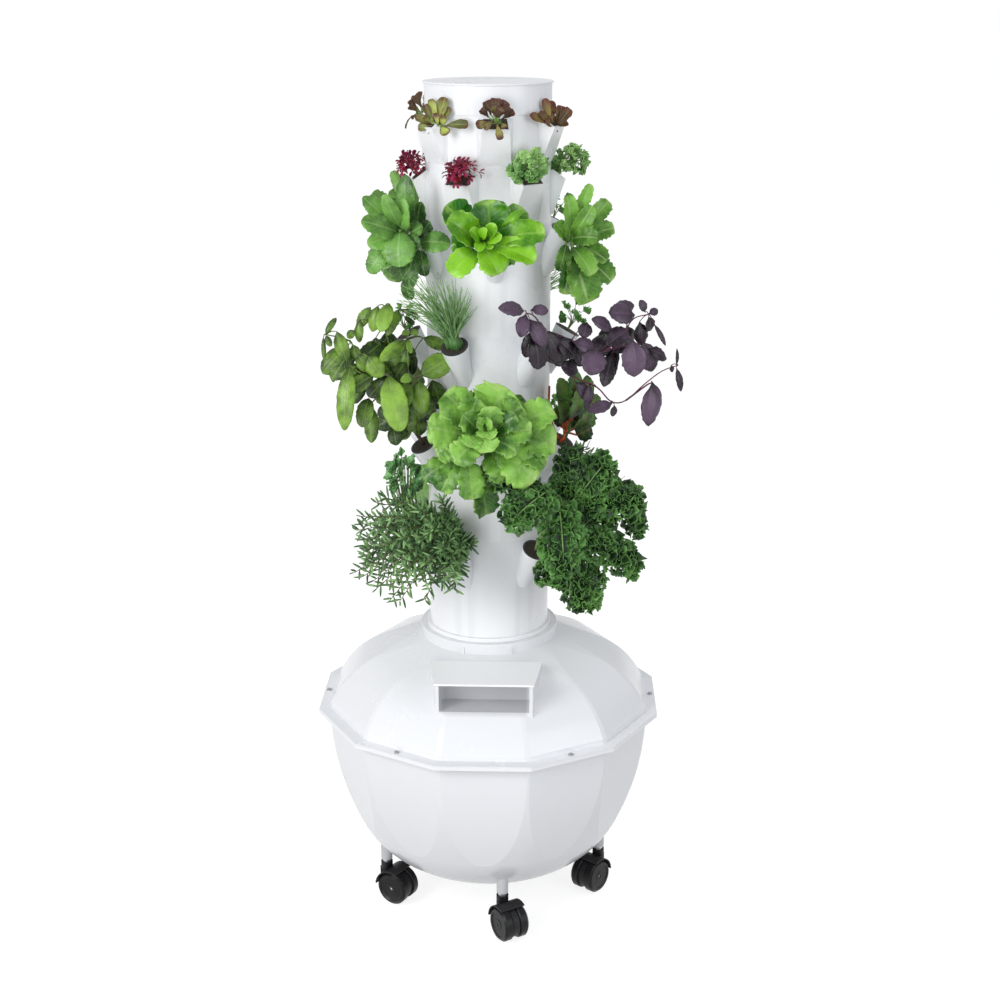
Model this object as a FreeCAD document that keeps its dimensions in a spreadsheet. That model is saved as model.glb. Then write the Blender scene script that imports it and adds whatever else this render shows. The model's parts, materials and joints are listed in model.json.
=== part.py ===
import FreeCAD, Part
import math
import os
import Sketcher

# Vertical planter tower: a twelve-sided water reservoir on five casters, with a stack of planting
# sections on it. +Z is up, the origin is on the ground on the tower's axis, and the front is -Y.
# An azimuth is measured from the front, positive towards +X.

doc = FreeCAD.newDocument("planter_tower")
sheet = doc.addObject("Spreadsheet::Sheet", "Sizes")

# Driving dimensions, millimetres and degrees
SIZES = {
    "wall": 4.0,
    "fit_gap": 0.3,
    "lift_gap": 0.3,
    "run_gap": 0.05,
    # reservoir
    "rim_height": 445.0,
    "rim_radius": 381.0,
    "rim_thick": 5.0,
    "facet_turn": 15.0,
    "corner_round": 1.5,
    "bowl_radius": 356.0,
    "bowl_waist_radius": 300.0,
    "bowl_waist_drop": 255.0,
    "bowl_floor_radius": 140.0,
    "bowl_depth": 378.0,
    "bowl_side_curve": 627.0,
    "bowl_foot_curve": 200.0,
    "facet_fade_drop": 262.0,
    "facet_fade_inset": 3.5,
    "facet_side_curve": 859.0,
    "facet_rise": 0.5,
    "dome_radius": 354.0,
    "dome_skirt_height": 15.0,
    "dome_knee_radius": 240.0,
    "dome_knee_height": 121.0,
    "dome_shoulder_curve": 200.0,
    "dome_crown_height": 157.0,
    "collar_radius": 148.0,
    "collar_top": 180.0,
    "collar_ledge": 162.0,
    "drain_radius": 118.0,
    "lug_azimuth": 20.0,
    "lug_width": 7.0,
    "lug_height": 16.0,
    "lug_stand": 3.0,
    # lid screws
    "screw_circle": 358.0,
    "screw_radius": 2.5,
    "screw_head_radius": 5.5,
    "screw_head_height": 5.0,
    "screw_hole_gap": 0.2,
    # hood, access cover and hand bay
    "hood_front": 289.0,
    "hood_rear": 172.0,
    "hood_foot": 60.0,
    "hood_front_width": 200.0,
    "hood_rear_width": 236.0,
    "hood_top": 148.0,
    "cover_thick": 4.0,
    "cover_overhang": 5.0,
    "cover_lip_depth": 6.0,
    "cover_lip_width": 3.0,
    "bay_back": 225.0,
    "bay_width": 186.0,
    "sill_height": 89.0,
    # cord grommet
    "grommet_circle": 190.0,
    "grommet_neck_radius": 11.0,
    "grommet_flange_radius": 16.0,
    "grommet_flange_thick": 2.5,
    "grommet_bore_radius": 4.5,
    # tower
    "tower_turn": 8.0,
    "tower_radius": 128.5,
    "tower_wall": 3.0,
    "tower_foot": 184.0,
    "ring_radius": 135.4,
    "ring_lip_height": 4.0,
    "ring_bore_radius": 122.0,
    "tall_height": 218.0,
    "short_height": 108.0,
    "spigot_height": 12.0,
    "cap_height": 60.0,
    "cap_lip_stand": 3.0,
    "cap_lip_height": 4.0,
    # round ports and net pots
    "port_height": 203.0,
    "port_circle": 166.0,
    "port_tilt": 30.0,
    "port_mouth_radius": 28.0,
    "port_throat_radius": 18.0,
    "port_length": 96.0,
    "port_wall": 2.0,
    "pot_depth": 52.0,
    "pot_wall": 1.4,
    "pot_rim_thick": 2.0,
    "pot_window_bottom": 46.0,
    "pot_window_top": 26.0,
    # wedge pockets
    "pocket_lip_circle": 155.0,
    "pocket_lip_height": 83.0,
    "pocket_lip_width": 53.0,
    "pocket_root_width": 66.0,
    "pocket_top": 103.0,
    "pocket_foot": 13.0,
    "pocket_wall": 2.6,
    # shower tray, riser and pump
    "tray_depth": 24.0,
    "tray_thick": 2.0,
    "tray_hole_circle": 84.0,
    "tray_hole_radius": 3.0,
    "tray_sleeve": 10.0,
    "riser_radius": 10.0,
    "riser_wall": 2.0,
    "riser_joint": 500.0,
    "riser_stop": 2.0,
    "coupling_length": 60.0,
    "coupling_wall": 2.5,
    "pump_length": 110.0,
    "pump_width": 74.0,
    "pump_height": 78.0,
    "pump_foot_height": 8.0,
    "pump_foot_radius": 10.0,
    "pump_cover_thick": 14.0,
    "pump_spout_height": 22.0,
    "spout_wall": 2.0,
    "strainer_rim": 6.0,
    "strainer_skin": 3.0,
    "slot_width": 4.0,
    "slot_pitch": 9.0,
    "slot_margin": 12.0,
    "chamber_radius": 20.0,
    "chamber_length": 34.0,
    "impeller_gap": 1.0,
    "vane_thick": 2.0,
    "shaft_radius": 2.0,
    "shaft_seat": 6.0,
    "shaft_end_gap": 2.0,
    # casters
    "caster_turn": 8.4,
    "caster_circle": 252.0,
    "socket_bottom": 95.0,
    "socket_radius": 12.5,
    "stem_radius": 5.5,
    "stem_reach": 22.0,
    "stem_flange_radius": 10.0,
    "hub_top": 88.0,
    "hub_foot": 73.0,
    "hub_radius": 13.0,
    "wheel_radius": 37.5,
    "wheel_width": 20.0,
    "wheel_gap": 1.5,
    "web_width": 15.0,
    "hood_gap": 1.5,
    "hood_shell": 3.0,
    "caster_trail": 30.0,
    "axle_radius": 4.0,
}
FACETS = 12
PORTS = 6
SCREWS = 6
CASTERS = 5
CASTER_HEADINGS = (32.0, -38.0, 150.0, -120.0, 59.0)
TALL_SECTIONS = 4
SHORT_SECTIONS = 2
TRAY_HOLES = 12
POT_WINDOWS = 8
STRAINER_SLOTS = 6
PLANT_GAP = 1.0
INLET_SHARE = 0.68
HUB_SHARE = 0.4
HUB_RIM = 2.0
VANE_SETBACK = 0.5
FOOT_TAPER = 0.6
FOOT_INSET = 4.0
# Lengths that reach past whatever they cut, or into whatever they join
THROUGH = 200.0
PAST_RIM = 20.0
PAST = 1.0
OVERLAP = 5.0

for line, (alias, number) in enumerate(SIZES.items(), start=1):
    sheet.set(f"A{line}", alias.replace("_", " "))
    sheet.set(f"B{line}", str(number))
    sheet.setAlias(f"B{line}", alias)
doc.recompute()


class Size:
    """A length or angle that knows its number and the sheet expression that gives it."""

    def __init__(self, number, text):
        self.number = number
        self.text = text

    def __add__(self, other):
        other = as_size(other)
        return Size(self.number + other.number, f"({self.text} + {other.text})")

    def __sub__(self, other):
        other = as_size(other)
        return Size(self.number - other.number, f"({self.text} - {other.text})")

    def __mul__(self, other):
        other = as_size(other)
        return Size(self.number * other.number, f"({self.text} * {other.text})")

    def __truediv__(self, other):
        other = as_size(other)
        return Size(self.number / other.number, f"({self.text} / {other.text})")

    def __rsub__(self, other):
        return as_size(other) - self

    __radd__ = __add__
    __rmul__ = __mul__

    def __neg__(self):
        return self * -1


def as_size(thing):
    return thing if isinstance(thing, Size) else Size(float(thing), f"{float(thing):.6g}")


def size(alias):
    return Size(SIZES[alias], f"Sizes.{alias}")


def cos(angle):
    angle = as_size(angle)
    return Size(math.cos(math.radians(angle.number)), f"cos({angle.text} * 1deg)")


def sin(angle):
    angle = as_size(angle)
    return Size(math.sin(math.radians(angle.number)), f"sin({angle.text} * 1deg)")


def bind(item, prop, amount):
    item.setExpression(prop, as_size(amount).text)


# Names that every piece shares
wall = size("wall")
fit_gap = size("fit_gap")
lift_gap = size("lift_gap")
run_gap = size("run_gap")
rim_height = size("rim_height")
rim_radius = size("rim_radius")
rim_thick = size("rim_thick")
tower_radius = size("tower_radius")
tower_bore = tower_radius - size("tower_wall")
spigot_radius = tower_bore - fit_gap
spigot_bore = spigot_radius - size("tower_wall")
tower_foot = rim_height + size("tower_foot")
facet_share = cos(size("facet_turn"))
bowl_floor = rim_height - size("bowl_depth") + wall


def azimuth_point(radius, azimuth):
    """X and Y of a point at a radius and azimuth."""
    return radius * sin(azimuth), -radius * cos(azimuth)


# Sketches and bodies
def plane_of(body, role):
    return next(item for item in body.Origin.OriginFeatures if item.Role == role)


def new_body(label):
    body = doc.addObject("PartDesign::Body", label)
    body.Label = label
    return body


def new_sketch(body, name, role, offset=None):
    sketch = body.newObject("Sketcher::SketchObject", name)
    sketch.AttachmentSupport = [(plane_of(body, role), "")]
    sketch.MapMode = "FlatFace"
    if offset is not None:
        bind(sketch, "AttachmentOffset.Base.z", offset)
    return sketch


def arc_between(start, end, radius):
    """The arc on the left of the way from start to end."""
    chord = end - start
    half = chord.Length / 2
    sideways = FreeCAD.Vector(chord.y, -chord.x, 0).normalize()
    height = math.sqrt(radius * radius - half * half)
    centre = start + chord * 0.5 - sideways * height
    middle = centre + sideways * radius
    return Part.Arc(start, middle, end)


def draw_outline(sketch, corners):
    """A closed outline. A corner is (x, y) or (x, y, r): then an arc of radius r leads to the next."""
    spots = [FreeCAD.Vector(as_size(c[0]).number, as_size(c[1]).number, 0) for c in corners]
    edges = []
    for index, corner in enumerate(corners):
        start = spots[index]
        end = spots[(index + 1) % len(spots)]
        if len(corner) == 3:
            edges.append(arc_between(start, end, as_size(corner[2]).number))
        else:
            edges.append(Part.LineSegment(start, end))
    first = sketch.addGeometry(edges, False)[0]
    ends = []
    for index, edge in enumerate(edges):
        begins_first = not isinstance(edge, Part.Arc) or same_spot(sketch, first + index, spots[index])
        ends.append((1, 2) if begins_first else (2, 1))
    count = len(corners)
    for index in range(count):
        after = (index + 1) % count
        sketch.addConstraint(Sketcher.Constraint(
            "Coincident", first + index, ends[index][1], first + after, ends[after][0]))
    for index, corner in enumerate(corners):
        for kind, amount in (("DistanceX", corner[0]), ("DistanceY", corner[1])):
            amount = as_size(amount)
            number = sketch.addConstraint(Sketcher.Constraint(
                kind, first + index, ends[index][0], amount.number))
            bind(sketch, f"Constraints[{number}]", amount)
        if len(corner) == 3:
            radius = as_size(corner[2])
            number = sketch.addConstraint(Sketcher.Constraint("Radius", first + index, radius.number))
            bind(sketch, f"Constraints[{number}]", radius)
    return first


def same_spot(sketch, geometry, spot):
    return sketch.getPoint(geometry, 1).distanceToPoint(spot) < 0.001


def draw_axis(sketch, start, end):
    """A construction line, the sketch's own Axis0."""
    spots = [FreeCAD.Vector(as_size(p[0]).number, as_size(p[1]).number, 0) for p in (start, end)]
    line = sketch.addGeometry(Part.LineSegment(*spots), True)
    for place, point in ((1, start), (2, end)):
        for kind, amount in (("DistanceX", point[0]), ("DistanceY", point[1])):
            amount = as_size(amount)
            number = sketch.addConstraint(Sketcher.Constraint(kind, line, place, amount.number))
            bind(sketch, f"Constraints[{number}]", amount)


def draw_circle(sketch, radius, x=0.0, y=0.0):
    radius = as_size(radius)
    spot = FreeCAD.Vector(as_size(x).number, as_size(y).number, 0)
    ring = sketch.addGeometry(Part.Circle(spot, FreeCAD.Vector(0, 0, 1), radius.number), False)
    number = sketch.addConstraint(Sketcher.Constraint("Radius", ring, radius.number))
    bind(sketch, f"Constraints[{number}]", radius)
    for kind, amount in (("DistanceX", x), ("DistanceY", y)):
        amount = as_size(amount)
        number = sketch.addConstraint(Sketcher.Constraint(kind, ring, 3, amount.number))
        bind(sketch, f"Constraints[{number}]", amount)


def draw_polygon(sketch, radius, sides, first_angle):
    """A regular polygon by its corner radius and the angle of its first corner."""
    corners = []
    for index in range(sides):
        angle = as_size(first_angle) + 360.0 / sides * index
        corners.append((radius * cos(angle), radius * sin(angle)))
    draw_outline(sketch, corners)


def feature(body, kind, name, sketch):
    item = body.newObject(f"PartDesign::{kind}", name)
    item.Profile = sketch
    sketch.Visibility = False
    return item


def revolve(body, name, corners, kind="Revolution", axis=None, angle=None):
    """A turned form from an outline in the XZ plane, about Z or about an axis in that plane."""
    sketch = new_sketch(body, f"{name}_outline", "XZ_Plane")
    draw_outline(sketch, corners)
    if axis:
        draw_axis(sketch, *axis)
    item = feature(body, kind, name, sketch)
    item.ReferenceAxis = (sketch, ["Axis0" if axis else "V_Axis"])
    if angle is None:
        item.Angle = 360.0
    else:
        bind(item, "Angle", angle)
        item.Midplane = True
    return item


def prism(body, name, corners, length, role="XY_Plane", kind="Pad", offset=None, middle=False):
    """A pad or pocket of an outline."""
    sketch = new_sketch(body, f"{name}_outline", role, offset)
    draw_outline(sketch, corners)
    return extrude(body, name, sketch, length, kind, middle)


def extrude(body, name, sketch, length, kind="Pad", middle=False):
    item = feature(body, kind, name, sketch)
    bind(item, "Length", length)
    if middle:
        item.SideType = "Symmetric"
    return item


def polar(body, name, features, count):
    item = body.newObject("PartDesign::PolarPattern", name)
    item.Originals = features
    item.Axis = (plane_of(body, "Z_Axis"), [""])
    item.Angle = 360.0
    item.Occurrences = count
    body.Tip = item
    return item


def place(item, x=0.0, y=0.0, z=0.0, turn=0.0):
    """Moves an object, and turns it about Z."""
    turn = as_size(turn)
    item.Placement = FreeCAD.Placement(
        FreeCAD.Vector(as_size(x).number, as_size(y).number, as_size(z).number),
        FreeCAD.Rotation(FreeCAD.Vector(0, 0, 1), turn.number))
    for prop, amount in (("x", x), ("y", y), ("z", z)):
        bind(item, f"Placement.Base.{prop}", amount)
    if turn.text != "0":
        item.setExpression("Placement.Rotation.Angle", f"{turn.text} * 1deg")
    return item


# Primitives and booleans
def cylinder(name, radius, height, x=0.0, y=0.0, z=0.0):
    item = doc.addObject("Part::Cylinder", name)
    bind(item, "Radius", radius)
    bind(item, "Height", height)
    return place(item, x, y, z)


def block(name, length, width, height, x=0.0, y=0.0, z=0.0):
    """A box centred on x and y that stands on z."""
    item = doc.addObject("Part::Box", name)
    length, width = as_size(length), as_size(width)
    bind(item, "Length", length)
    bind(item, "Width", width)
    bind(item, "Height", height)
    return place(item, as_size(x) - length / 2, as_size(y) - width / 2, z)


def cross_rod(name, radius, length, x=0.0, z=0.0):
    """A cylinder along Y, centred on Y, whose axis is at x and z."""
    item = doc.addObject("Part::Cylinder", name)
    length = as_size(length)
    bind(item, "Radius", radius)
    bind(item, "Height", length)
    spot = FreeCAD.Vector(as_size(x).number, length.number / 2, as_size(z).number)
    item.Placement = FreeCAD.Placement(spot, FreeCAD.Rotation(FreeCAD.Vector(1, 0, 0), 90))
    bind(item, "Placement.Base.x", x)
    bind(item, "Placement.Base.y", length / 2)
    bind(item, "Placement.Base.z", z)
    return item


def fuse(label, pieces):
    item = doc.addObject("Part::MultiFuse", label)
    item.Shapes = pieces
    item.Refine = True
    item.Label = label
    return item


def cut(label, base, tool):
    item = doc.addObject("Part::Cut", label)
    item.Base = base
    item.Tool = tool
    item.Refine = True
    item.Label = label
    return item


def common(label, base, tool):
    item = doc.addObject("Part::Common", label)
    item.Base = base
    item.Tool = tool
    item.Refine = True
    item.Label = label
    return item


def ready(item):
    """The shape of an object once it is computed."""
    doc.recompute()
    return item.Shape


def shape_feature(label, shape):
    item = doc.addObject("Part::Feature", label)
    item.Label = label
    item.Shape = shape
    return item


def turned_copies(shape, count, first=0.0, lift=0.0):
    """Copies of a shape around the Z axis."""
    copies = []
    for index in range(count):
        spin = FreeCAD.Rotation(FreeCAD.Vector(0, 0, 1), first + 360.0 / count * index)
        copy = shape.copy()
        copy.Placement = FreeCAD.Placement(FreeCAD.Vector(0, 0, lift), spin).multiply(shape.Placement)
        copies.append(copy)
    return copies


PIECES = []


def keep(item):
    PIECES.append(item)
    return item


# Reservoir
def faceted_form(name, outline, facet):
    """A turned form whose side is cut flat by equal facets, one of them facing the front."""
    body = new_body(name)
    revolve(body, f"{name}_round", outline)
    flat = prism(body, f"{name}_facet", facet, rim_radius * 2, "XZ_Plane", "Pocket", middle=True)
    polar(body, f"{name}_facets", [flat], FACETS)
    return body


def bowl_form(name, inset):
    """The bowl's solid form below the rim plane, with its wall left off when inset is the wall."""
    top = rim_height
    side = size("bowl_radius") - inset
    waist = size("bowl_waist_radius") - inset
    waist_height = top - size("bowl_waist_drop") + inset / 4
    floor_radius = size("bowl_floor_radius")
    floor = top - size("bowl_depth") + inset
    outline = [
        (0, floor),
        (floor_radius, floor, size("bowl_foot_curve") - inset),
        (waist, waist_height, size("bowl_side_curve") - inset),
        (side, top),
        (0, top),
    ]
    flat_top = (size("bowl_radius") + size("corner_round")) * facet_share - inset
    fade_radius = size("bowl_waist_radius") - size("facet_fade_inset") - inset
    fade = top - size("facet_fade_drop")
    facet = [
        (fade_radius, fade, size("facet_side_curve") - inset),
        (flat_top, top + 1),
        (rim_radius + PAST_RIM, top + 1),
        (rim_radius + PAST_RIM, fade),
    ]
    return faceted_form(name, outline, facet)


def rim_flange(name, height, thick):
    body = new_body(name)
    sketch = new_sketch(body, f"{name}_outline", "XY_Plane", height)
    draw_polygon(sketch, rim_radius, FACETS, size("facet_turn"))
    extrude(body, f"{name}_pad", sketch, thick)
    return body


def screw_holes(name):
    """Six rods on the screws' axes, wider than a screw, through both flanges."""
    radius = size("screw_radius") + size("screw_hole_gap")
    body = new_body(name)
    sketch = new_sketch(body, f"{name}_circle", "XY_Plane", rim_height - PAST_RIM)
    draw_circle(sketch, radius, *azimuth_point(size("screw_circle"), 180.0 / SCREWS))
    pad = extrude(body, f"{name}_pad", sketch, PAST_RIM * 2)
    polar(body, f"{name}_ring", [pad], SCREWS)
    return body


def reservoir_bowl():
    outer = fuse("bowl_outer", [
        bowl_form("bowl_form", as_size(0.0)),
        rim_flange("bowl_flange", rim_height - rim_thick, rim_thick)])
    shell = cut("bowl_shell", outer, bowl_form("bowl_cavity", wall))
    return keep(cut("reservoir_bowl", shell, screw_holes("bowl_holes")))


def dome_form(name, inset):
    base = rim_height
    skirt = base + size("dome_skirt_height")
    knee = base + size("dome_knee_height") - inset
    crown = base + size("dome_crown_height") - inset
    crown_radius = size("collar_radius")
    outline = [
        (0, base),
        (size("dome_radius") - inset, base),
        (size("dome_radius") - inset, skirt, size("dome_shoulder_curve") - inset),
        (size("dome_knee_radius") - inset / 2, knee),
        (crown_radius, crown),
        (0, crown),
    ]
    flat = (size("dome_radius") + size("corner_round")) * facet_share - inset
    flat_knee = (size("dome_knee_radius") + size("corner_round")) * facet_share - inset / 2
    facet = [
        (crown_radius, crown + size("facet_rise")),
        (rim_radius + PAST_RIM, crown + size("facet_rise")),
        (rim_radius + PAST_RIM, base - 1),
        (flat, base - 1),
        (flat, skirt, size("dome_shoulder_curve") - inset),
        (flat_knee, knee),
    ]
    return faceted_form(name, outline, facet)


def hood_outline(inset):
    """The hood in plan, from its front edge to the tower's collar."""
    front = -(size("hood_front") - inset)
    rear = -(size("hood_rear") + inset)
    front_half = size("hood_front_width") / 2 - inset
    rear_half = size("hood_rear_width") / 2 - inset
    return [(-front_half, front), (front_half, front), (rear_half, rear), (-rear_half, rear)]


def hood_prism(name, inset, low, high):
    body = new_body(name)
    prism(body, f"{name}_pad", hood_outline(inset), high - low, offset=low)
    return body


def bay_prism(name, stand, low, high, front):
    """The hand bay behind the hood's mouth, or its lining when stand is the wall."""
    half = size("bay_width") / 2 + stand
    back = -(size("bay_back") - stand)
    corners = [(-half, front), (half, front), (half, back), (-half, back)]
    body = new_body(name)
    prism(body, f"{name}_pad", corners, high - low, offset=low)
    return body


def reservoir_lid():
    """The dome with its rim, hood and collar, open below, at the hand bay and under the tower."""
    hood_top = rim_height + size("hood_top")
    sill = rim_height + size("sill_height")
    low = rim_height + size("hood_foot")
    front_line = -size("hood_front")
    collar_low = rim_height + size("dome_knee_height")
    outer = fuse("lid_outer", [
        dome_form("dome_outer", as_size(0.0)),
        rim_flange("lid_flange", rim_height, rim_thick),
        hood_prism("hood_outer", as_size(0.0), low, hood_top),
        cylinder("collar_outer", size("collar_radius"), size("collar_top") - size("dome_knee_height"),
                 z=collar_low)])
    inner = fuse("lid_inner", [
        dome_form("dome_inner", wall),
        hood_prism("hood_inner", wall, low, hood_top + 1)])
    lining_top = hood_top - size("cover_lip_depth")
    cavity = cut("lid_cavity", inner, bay_prism("bay_lining", wall, sill - wall, lining_top, front_line))
    bay = bay_prism("hand_bay", as_size(0.0), sill, hood_top + 1, front_line - PAST_RIM)
    ledge = rim_height + size("collar_ledge")
    bore = cylinder("collar_bore", size("ring_radius") + fit_gap, THROUGH, z=ledge)
    drain = cylinder("drain_bore", size("drain_radius"), THROUGH, z=low)
    holes = screw_holes("lid_holes")
    shell = cut("lid_shell", outer, fuse("lid_cuts", [cavity, bay, bore, drain, holes, grommet_hole()]))
    return keep(fuse("reservoir_lid", [shell, collar_lugs()]))


def collar_lugs():
    """Small upright lugs on the collar, a pair in front and a pair behind."""
    body = new_body("collar_lugs")
    angle = size("lug_azimuth")
    low = rim_height + size("dome_crown_height") - 2
    pads = []
    for side, name in ((1, "right"), (-1, "left")):
        turn = angle * side
        half = size("lug_width") / 2
        near = size("collar_radius") - 1
        far = size("collar_radius") + size("lug_stand")
        corners = []
        for radius, across in ((near, -half), (far, -half), (far, half), (near, half)):
            x = radius * sin(turn) + across * cos(turn)
            y = -radius * cos(turn) + across * sin(turn)
            corners.append((x, y))
        pads.append(prism(body, f"lug_{name}", corners, size("lug_height"), offset=low))
    polar(body, "lug_pairs", pads, 2)
    return body


def lid_screws():
    """Six pan-head screws, one in the middle of every second side of the rim."""
    body = new_body("lid_screws")
    head = size("screw_head_radius")
    shank = size("screw_radius")
    seat = rim_height + rim_thick
    top = seat + size("screw_head_height")
    centre = size("screw_circle")
    low = rim_height - rim_thick - 1
    outline = [
        (centre, low),
        (centre + shank, low),
        (centre + shank, seat),
        (centre + head, seat),
        (centre + head, seat + size("screw_head_height") / 2),
        (centre + head / 2, top),
        (centre, top),
    ]
    screw = revolve(body, "screw", outline, axis=((centre, low), (centre, top)))
    polar(body, "screws", [screw], SCREWS)
    return keep(place(body, turn=180.0 / SCREWS - 90.0))


def access_cover():
    """The flat plate on the hood, with a lip that drops inside the hood's wall."""
    body = new_body("access_cover")
    low = rim_height + size("hood_top") + lift_gap
    over = size("cover_overhang")
    half_front = size("hood_front_width") / 2 + over / 2
    half_rear = size("hood_rear_width") / 2
    front = -(size("hood_front") + over)
    rear = -size("hood_rear")
    plate =[(-half_front, front), (half_front, front), (half_rear, rear), (-half_rear, rear)]
    prism(body, "cover_plate", plate, size("cover_thick"), offset=low)
    inset = wall + fit_gap
    lip_rear = -(size("bay_back") - inset - wall)
    lip_front = -(size("hood_rear") + inset + 2)
    half = size("bay_width") / 2
    lip = [(-half, lip_rear), (half, lip_rear), (half, lip_front), (-half, lip_front)]
    depth = size("cover_lip_depth")
    prism(body, "cover_lip", lip, depth + 1, offset=low - depth)
    bare = size("cover_lip_width")
    well = [(-half + bare, lip_rear + bare), (half - bare, lip_rear + bare),
            (half - bare, lip_front - bare), (-half + bare, lip_front - bare)]
    hollow = prism(body, "lip_hollow", well, depth, kind="Pocket", offset=low - depth)
    hollow.Reversed = True
    return keep(body)


def grommet_place():
    """Where the grommet sits: on the slope of the rear facet, square to it."""
    crown_radius = size("collar_radius").number
    flat_knee = ((size("dome_knee_radius") + size("corner_round")) * facet_share).number
    crown = (size("dome_crown_height") + size("facet_rise")).number
    rise = crown - size("dome_knee_height").number
    slope = math.atan2(rise, flat_knee - crown_radius)
    radius = size("grommet_circle").number
    height = rim_height.number + crown
    height -= (radius - crown_radius) * math.tan(slope)
    lean = FreeCAD.Rotation(FreeCAD.Vector(1, 0, 0), -math.degrees(slope))
    return FreeCAD.Placement(FreeCAD.Vector(0, radius, height), lean)


def grommet_hole():
    item = doc.addObject("Part::Cylinder", "grommet_hole")
    bind(item, "Radius", size("grommet_neck_radius"))
    item.Height = 60.0
    item.Placement = grommet_place().multiply(FreeCAD.Placement(
        FreeCAD.Vector(0, 0, -30), FreeCAD.Rotation()))
    return item


def cord_grommet():
    """Rubber ring in the lid for the pump's cord: a neck between two flanges."""
    body = new_body("cord_grommet")
    neck = size("grommet_neck_radius") - run_gap
    flange = size("grommet_flange_radius")
    thick = size("grommet_flange_thick")
    bore = size("grommet_bore_radius")
    under = -(wall + fit_gap + 0.1)
    revolve(body, "grommet_ring", [
        (bore, under - thick), (flange, under - thick), (flange, under), (neck, under),
        (neck, 0.1), (flange, 0.1), (flange - 1, thick), (bore, thick)])
    body.Placement = grommet_place()
    return keep(body)


# Tower
def base_ring():
    body = new_body("base_ring")
    outer = size("ring_radius")
    bore = size("ring_bore_radius")
    seat = tower_foot
    lip = tower_radius + fit_gap
    low = rim_height + size("collar_ledge")
    revolve(body, "ring", [
        (bore, low), (outer, low), (outer, seat + size("ring_lip_height")),
        (lip, seat + size("ring_lip_height")), (lip, seat), (bore, seat)])
    return keep(body)


def section_tube(body, height):
    """Tube with a spigot on top that fits the next section's bore."""
    shelf = height - 6
    top = height + size("spigot_height")
    outer = tower_radius
    revolve(body, "tube", [
        (tower_bore, 0), (outer, 0), (outer, height), (spigot_radius, height),
        (spigot_radius, top), (spigot_bore, top), (spigot_bore, shelf), (tower_bore, shelf - 4)])


def along_port(along, across):
    """A point in the section's XZ plane, by how far it is down the port's axis and out from it."""
    tilt = size("port_tilt")
    along, across = as_size(along), as_size(across)
    x = size("port_circle") - along * sin(tilt) + across * cos(tilt)
    z = size("port_height") - along * cos(tilt) - across * sin(tilt)
    return x, z


def port_axis():
    return along_port(0, 0), along_port(10, 0)


def port_cone(body, name, kind, shrink, start):
    length = size("port_length")
    mouth = size("port_mouth_radius") - shrink
    throat = size("port_throat_radius") - shrink
    corners = [along_port(start, 0), along_port(start, mouth), along_port(length, throat),
               along_port(length, 0)]
    return revolve(body, name, corners, kind, port_axis())


def tall_section(index):
    """A tall section: six funnels fused to the tube, each bored through its wall."""
    body = new_body(f"planting_section_{index + 1}")
    height = size("tall_height")
    section_tube(body, height)
    funnel = port_cone(body, "funnel", "Revolution", as_size(0.0), 0)
    polar(body, "funnels", [funnel], PORTS)
    revolve(body, "clear_bore", [
        (0, -1), (tower_bore, -1), (tower_bore, height - 10), (0, height - 10)], "Groove")
    bore = port_cone(body, "funnel_bore", "Groove", size("port_wall"), 0)
    polar(body, "funnel_bores", [bore], PORTS)
    turn = section_turn(index)
    return keep(place(body, z=tower_foot + height * index, turn=turn))


def section_turn(index):
    """Turn about Z of a section whose first port lies on +X. Odd rows are in line with the front."""
    half_step = 0.0 if index % 2 else 180.0 / PORTS
    return size("tower_turn") + half_step - 90.0


def short_foot(index):
    return tower_foot + size("tall_height") * TALL_SECTIONS + size("short_height") * index


def pocket_front(height):
    """Radius of the pocket's front face at a height."""
    lean = (size("pocket_lip_circle") - tower_radius) / (size("pocket_lip_height") - size("pocket_foot"))
    return size("pocket_lip_circle") - lean * (size("pocket_lip_height") - height)


def pocket_mouth(radius):
    """Height of the pocket's sloping mouth at a radius."""
    fall = (size("pocket_top") - size("pocket_lip_height")) / (size("pocket_lip_circle") - tower_radius)
    return size("pocket_top") - fall * (radius - tower_radius)


def short_section(index):
    """A short section: six wedge pockets, open above and into the tube."""
    body = new_body(f"baby_green_section_{index + 1}")
    height = size("short_height")
    section_tube(body, height)
    lip = size("pocket_lip_circle")
    lip_height = size("pocket_lip_height")
    top, foot = size("pocket_top"), size("pocket_foot")
    inside = tower_bore + 1
    half_lip = size("pocket_lip_width") / 2
    half_root = size("pocket_root_width") / 2
    plan = [(inside, -half_root), (lip, -half_lip), (lip, half_lip), (inside, half_root)]
    wedge = prism(body, "wedge", plan, top - foot, offset=foot)
    side = size("pocket_root_width") + 10
    below = prism(body, "wedge_front", [
        (tower_radius + 0.01, foot - 1), (lip + 5, foot - 1), (lip + 5, lip_height), (lip, lip_height),
        (tower_radius + 0.01, foot)], side, "XZ_Plane", "Pocket", middle=True)
    above = prism(body, "wedge_mouth", [
        (tower_radius + 0.01, top), (lip, lip_height), (lip + 5, lip_height), (lip + 5, top + 1),
        (tower_radius + 0.01, top + 1)], side, "XZ_Plane", "Pocket", middle=True)
    polar(body, "wedges", [wedge, below, above], PORTS)
    skin = size("pocket_wall")
    inner = spigot_bore + 1
    front_low = foot + 4
    cavity = prism(body, "wedge_cavity", [
        (inner, front_low), (pocket_front(front_low) - skin, front_low),
        (pocket_front(top + 8) - skin, top + 8), (tower_radius + 0.01, top + 8),
        (tower_radius + 0.01, top - 4), (inner, top - 4)],
        size("pocket_lip_width") - skin * 2, "XZ_Plane", "Pocket", middle=True)
    polar(body, "wedge_cavities", [cavity], PORTS)
    return keep(place(body, z=short_foot(index), turn=section_turn(index)))


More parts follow.
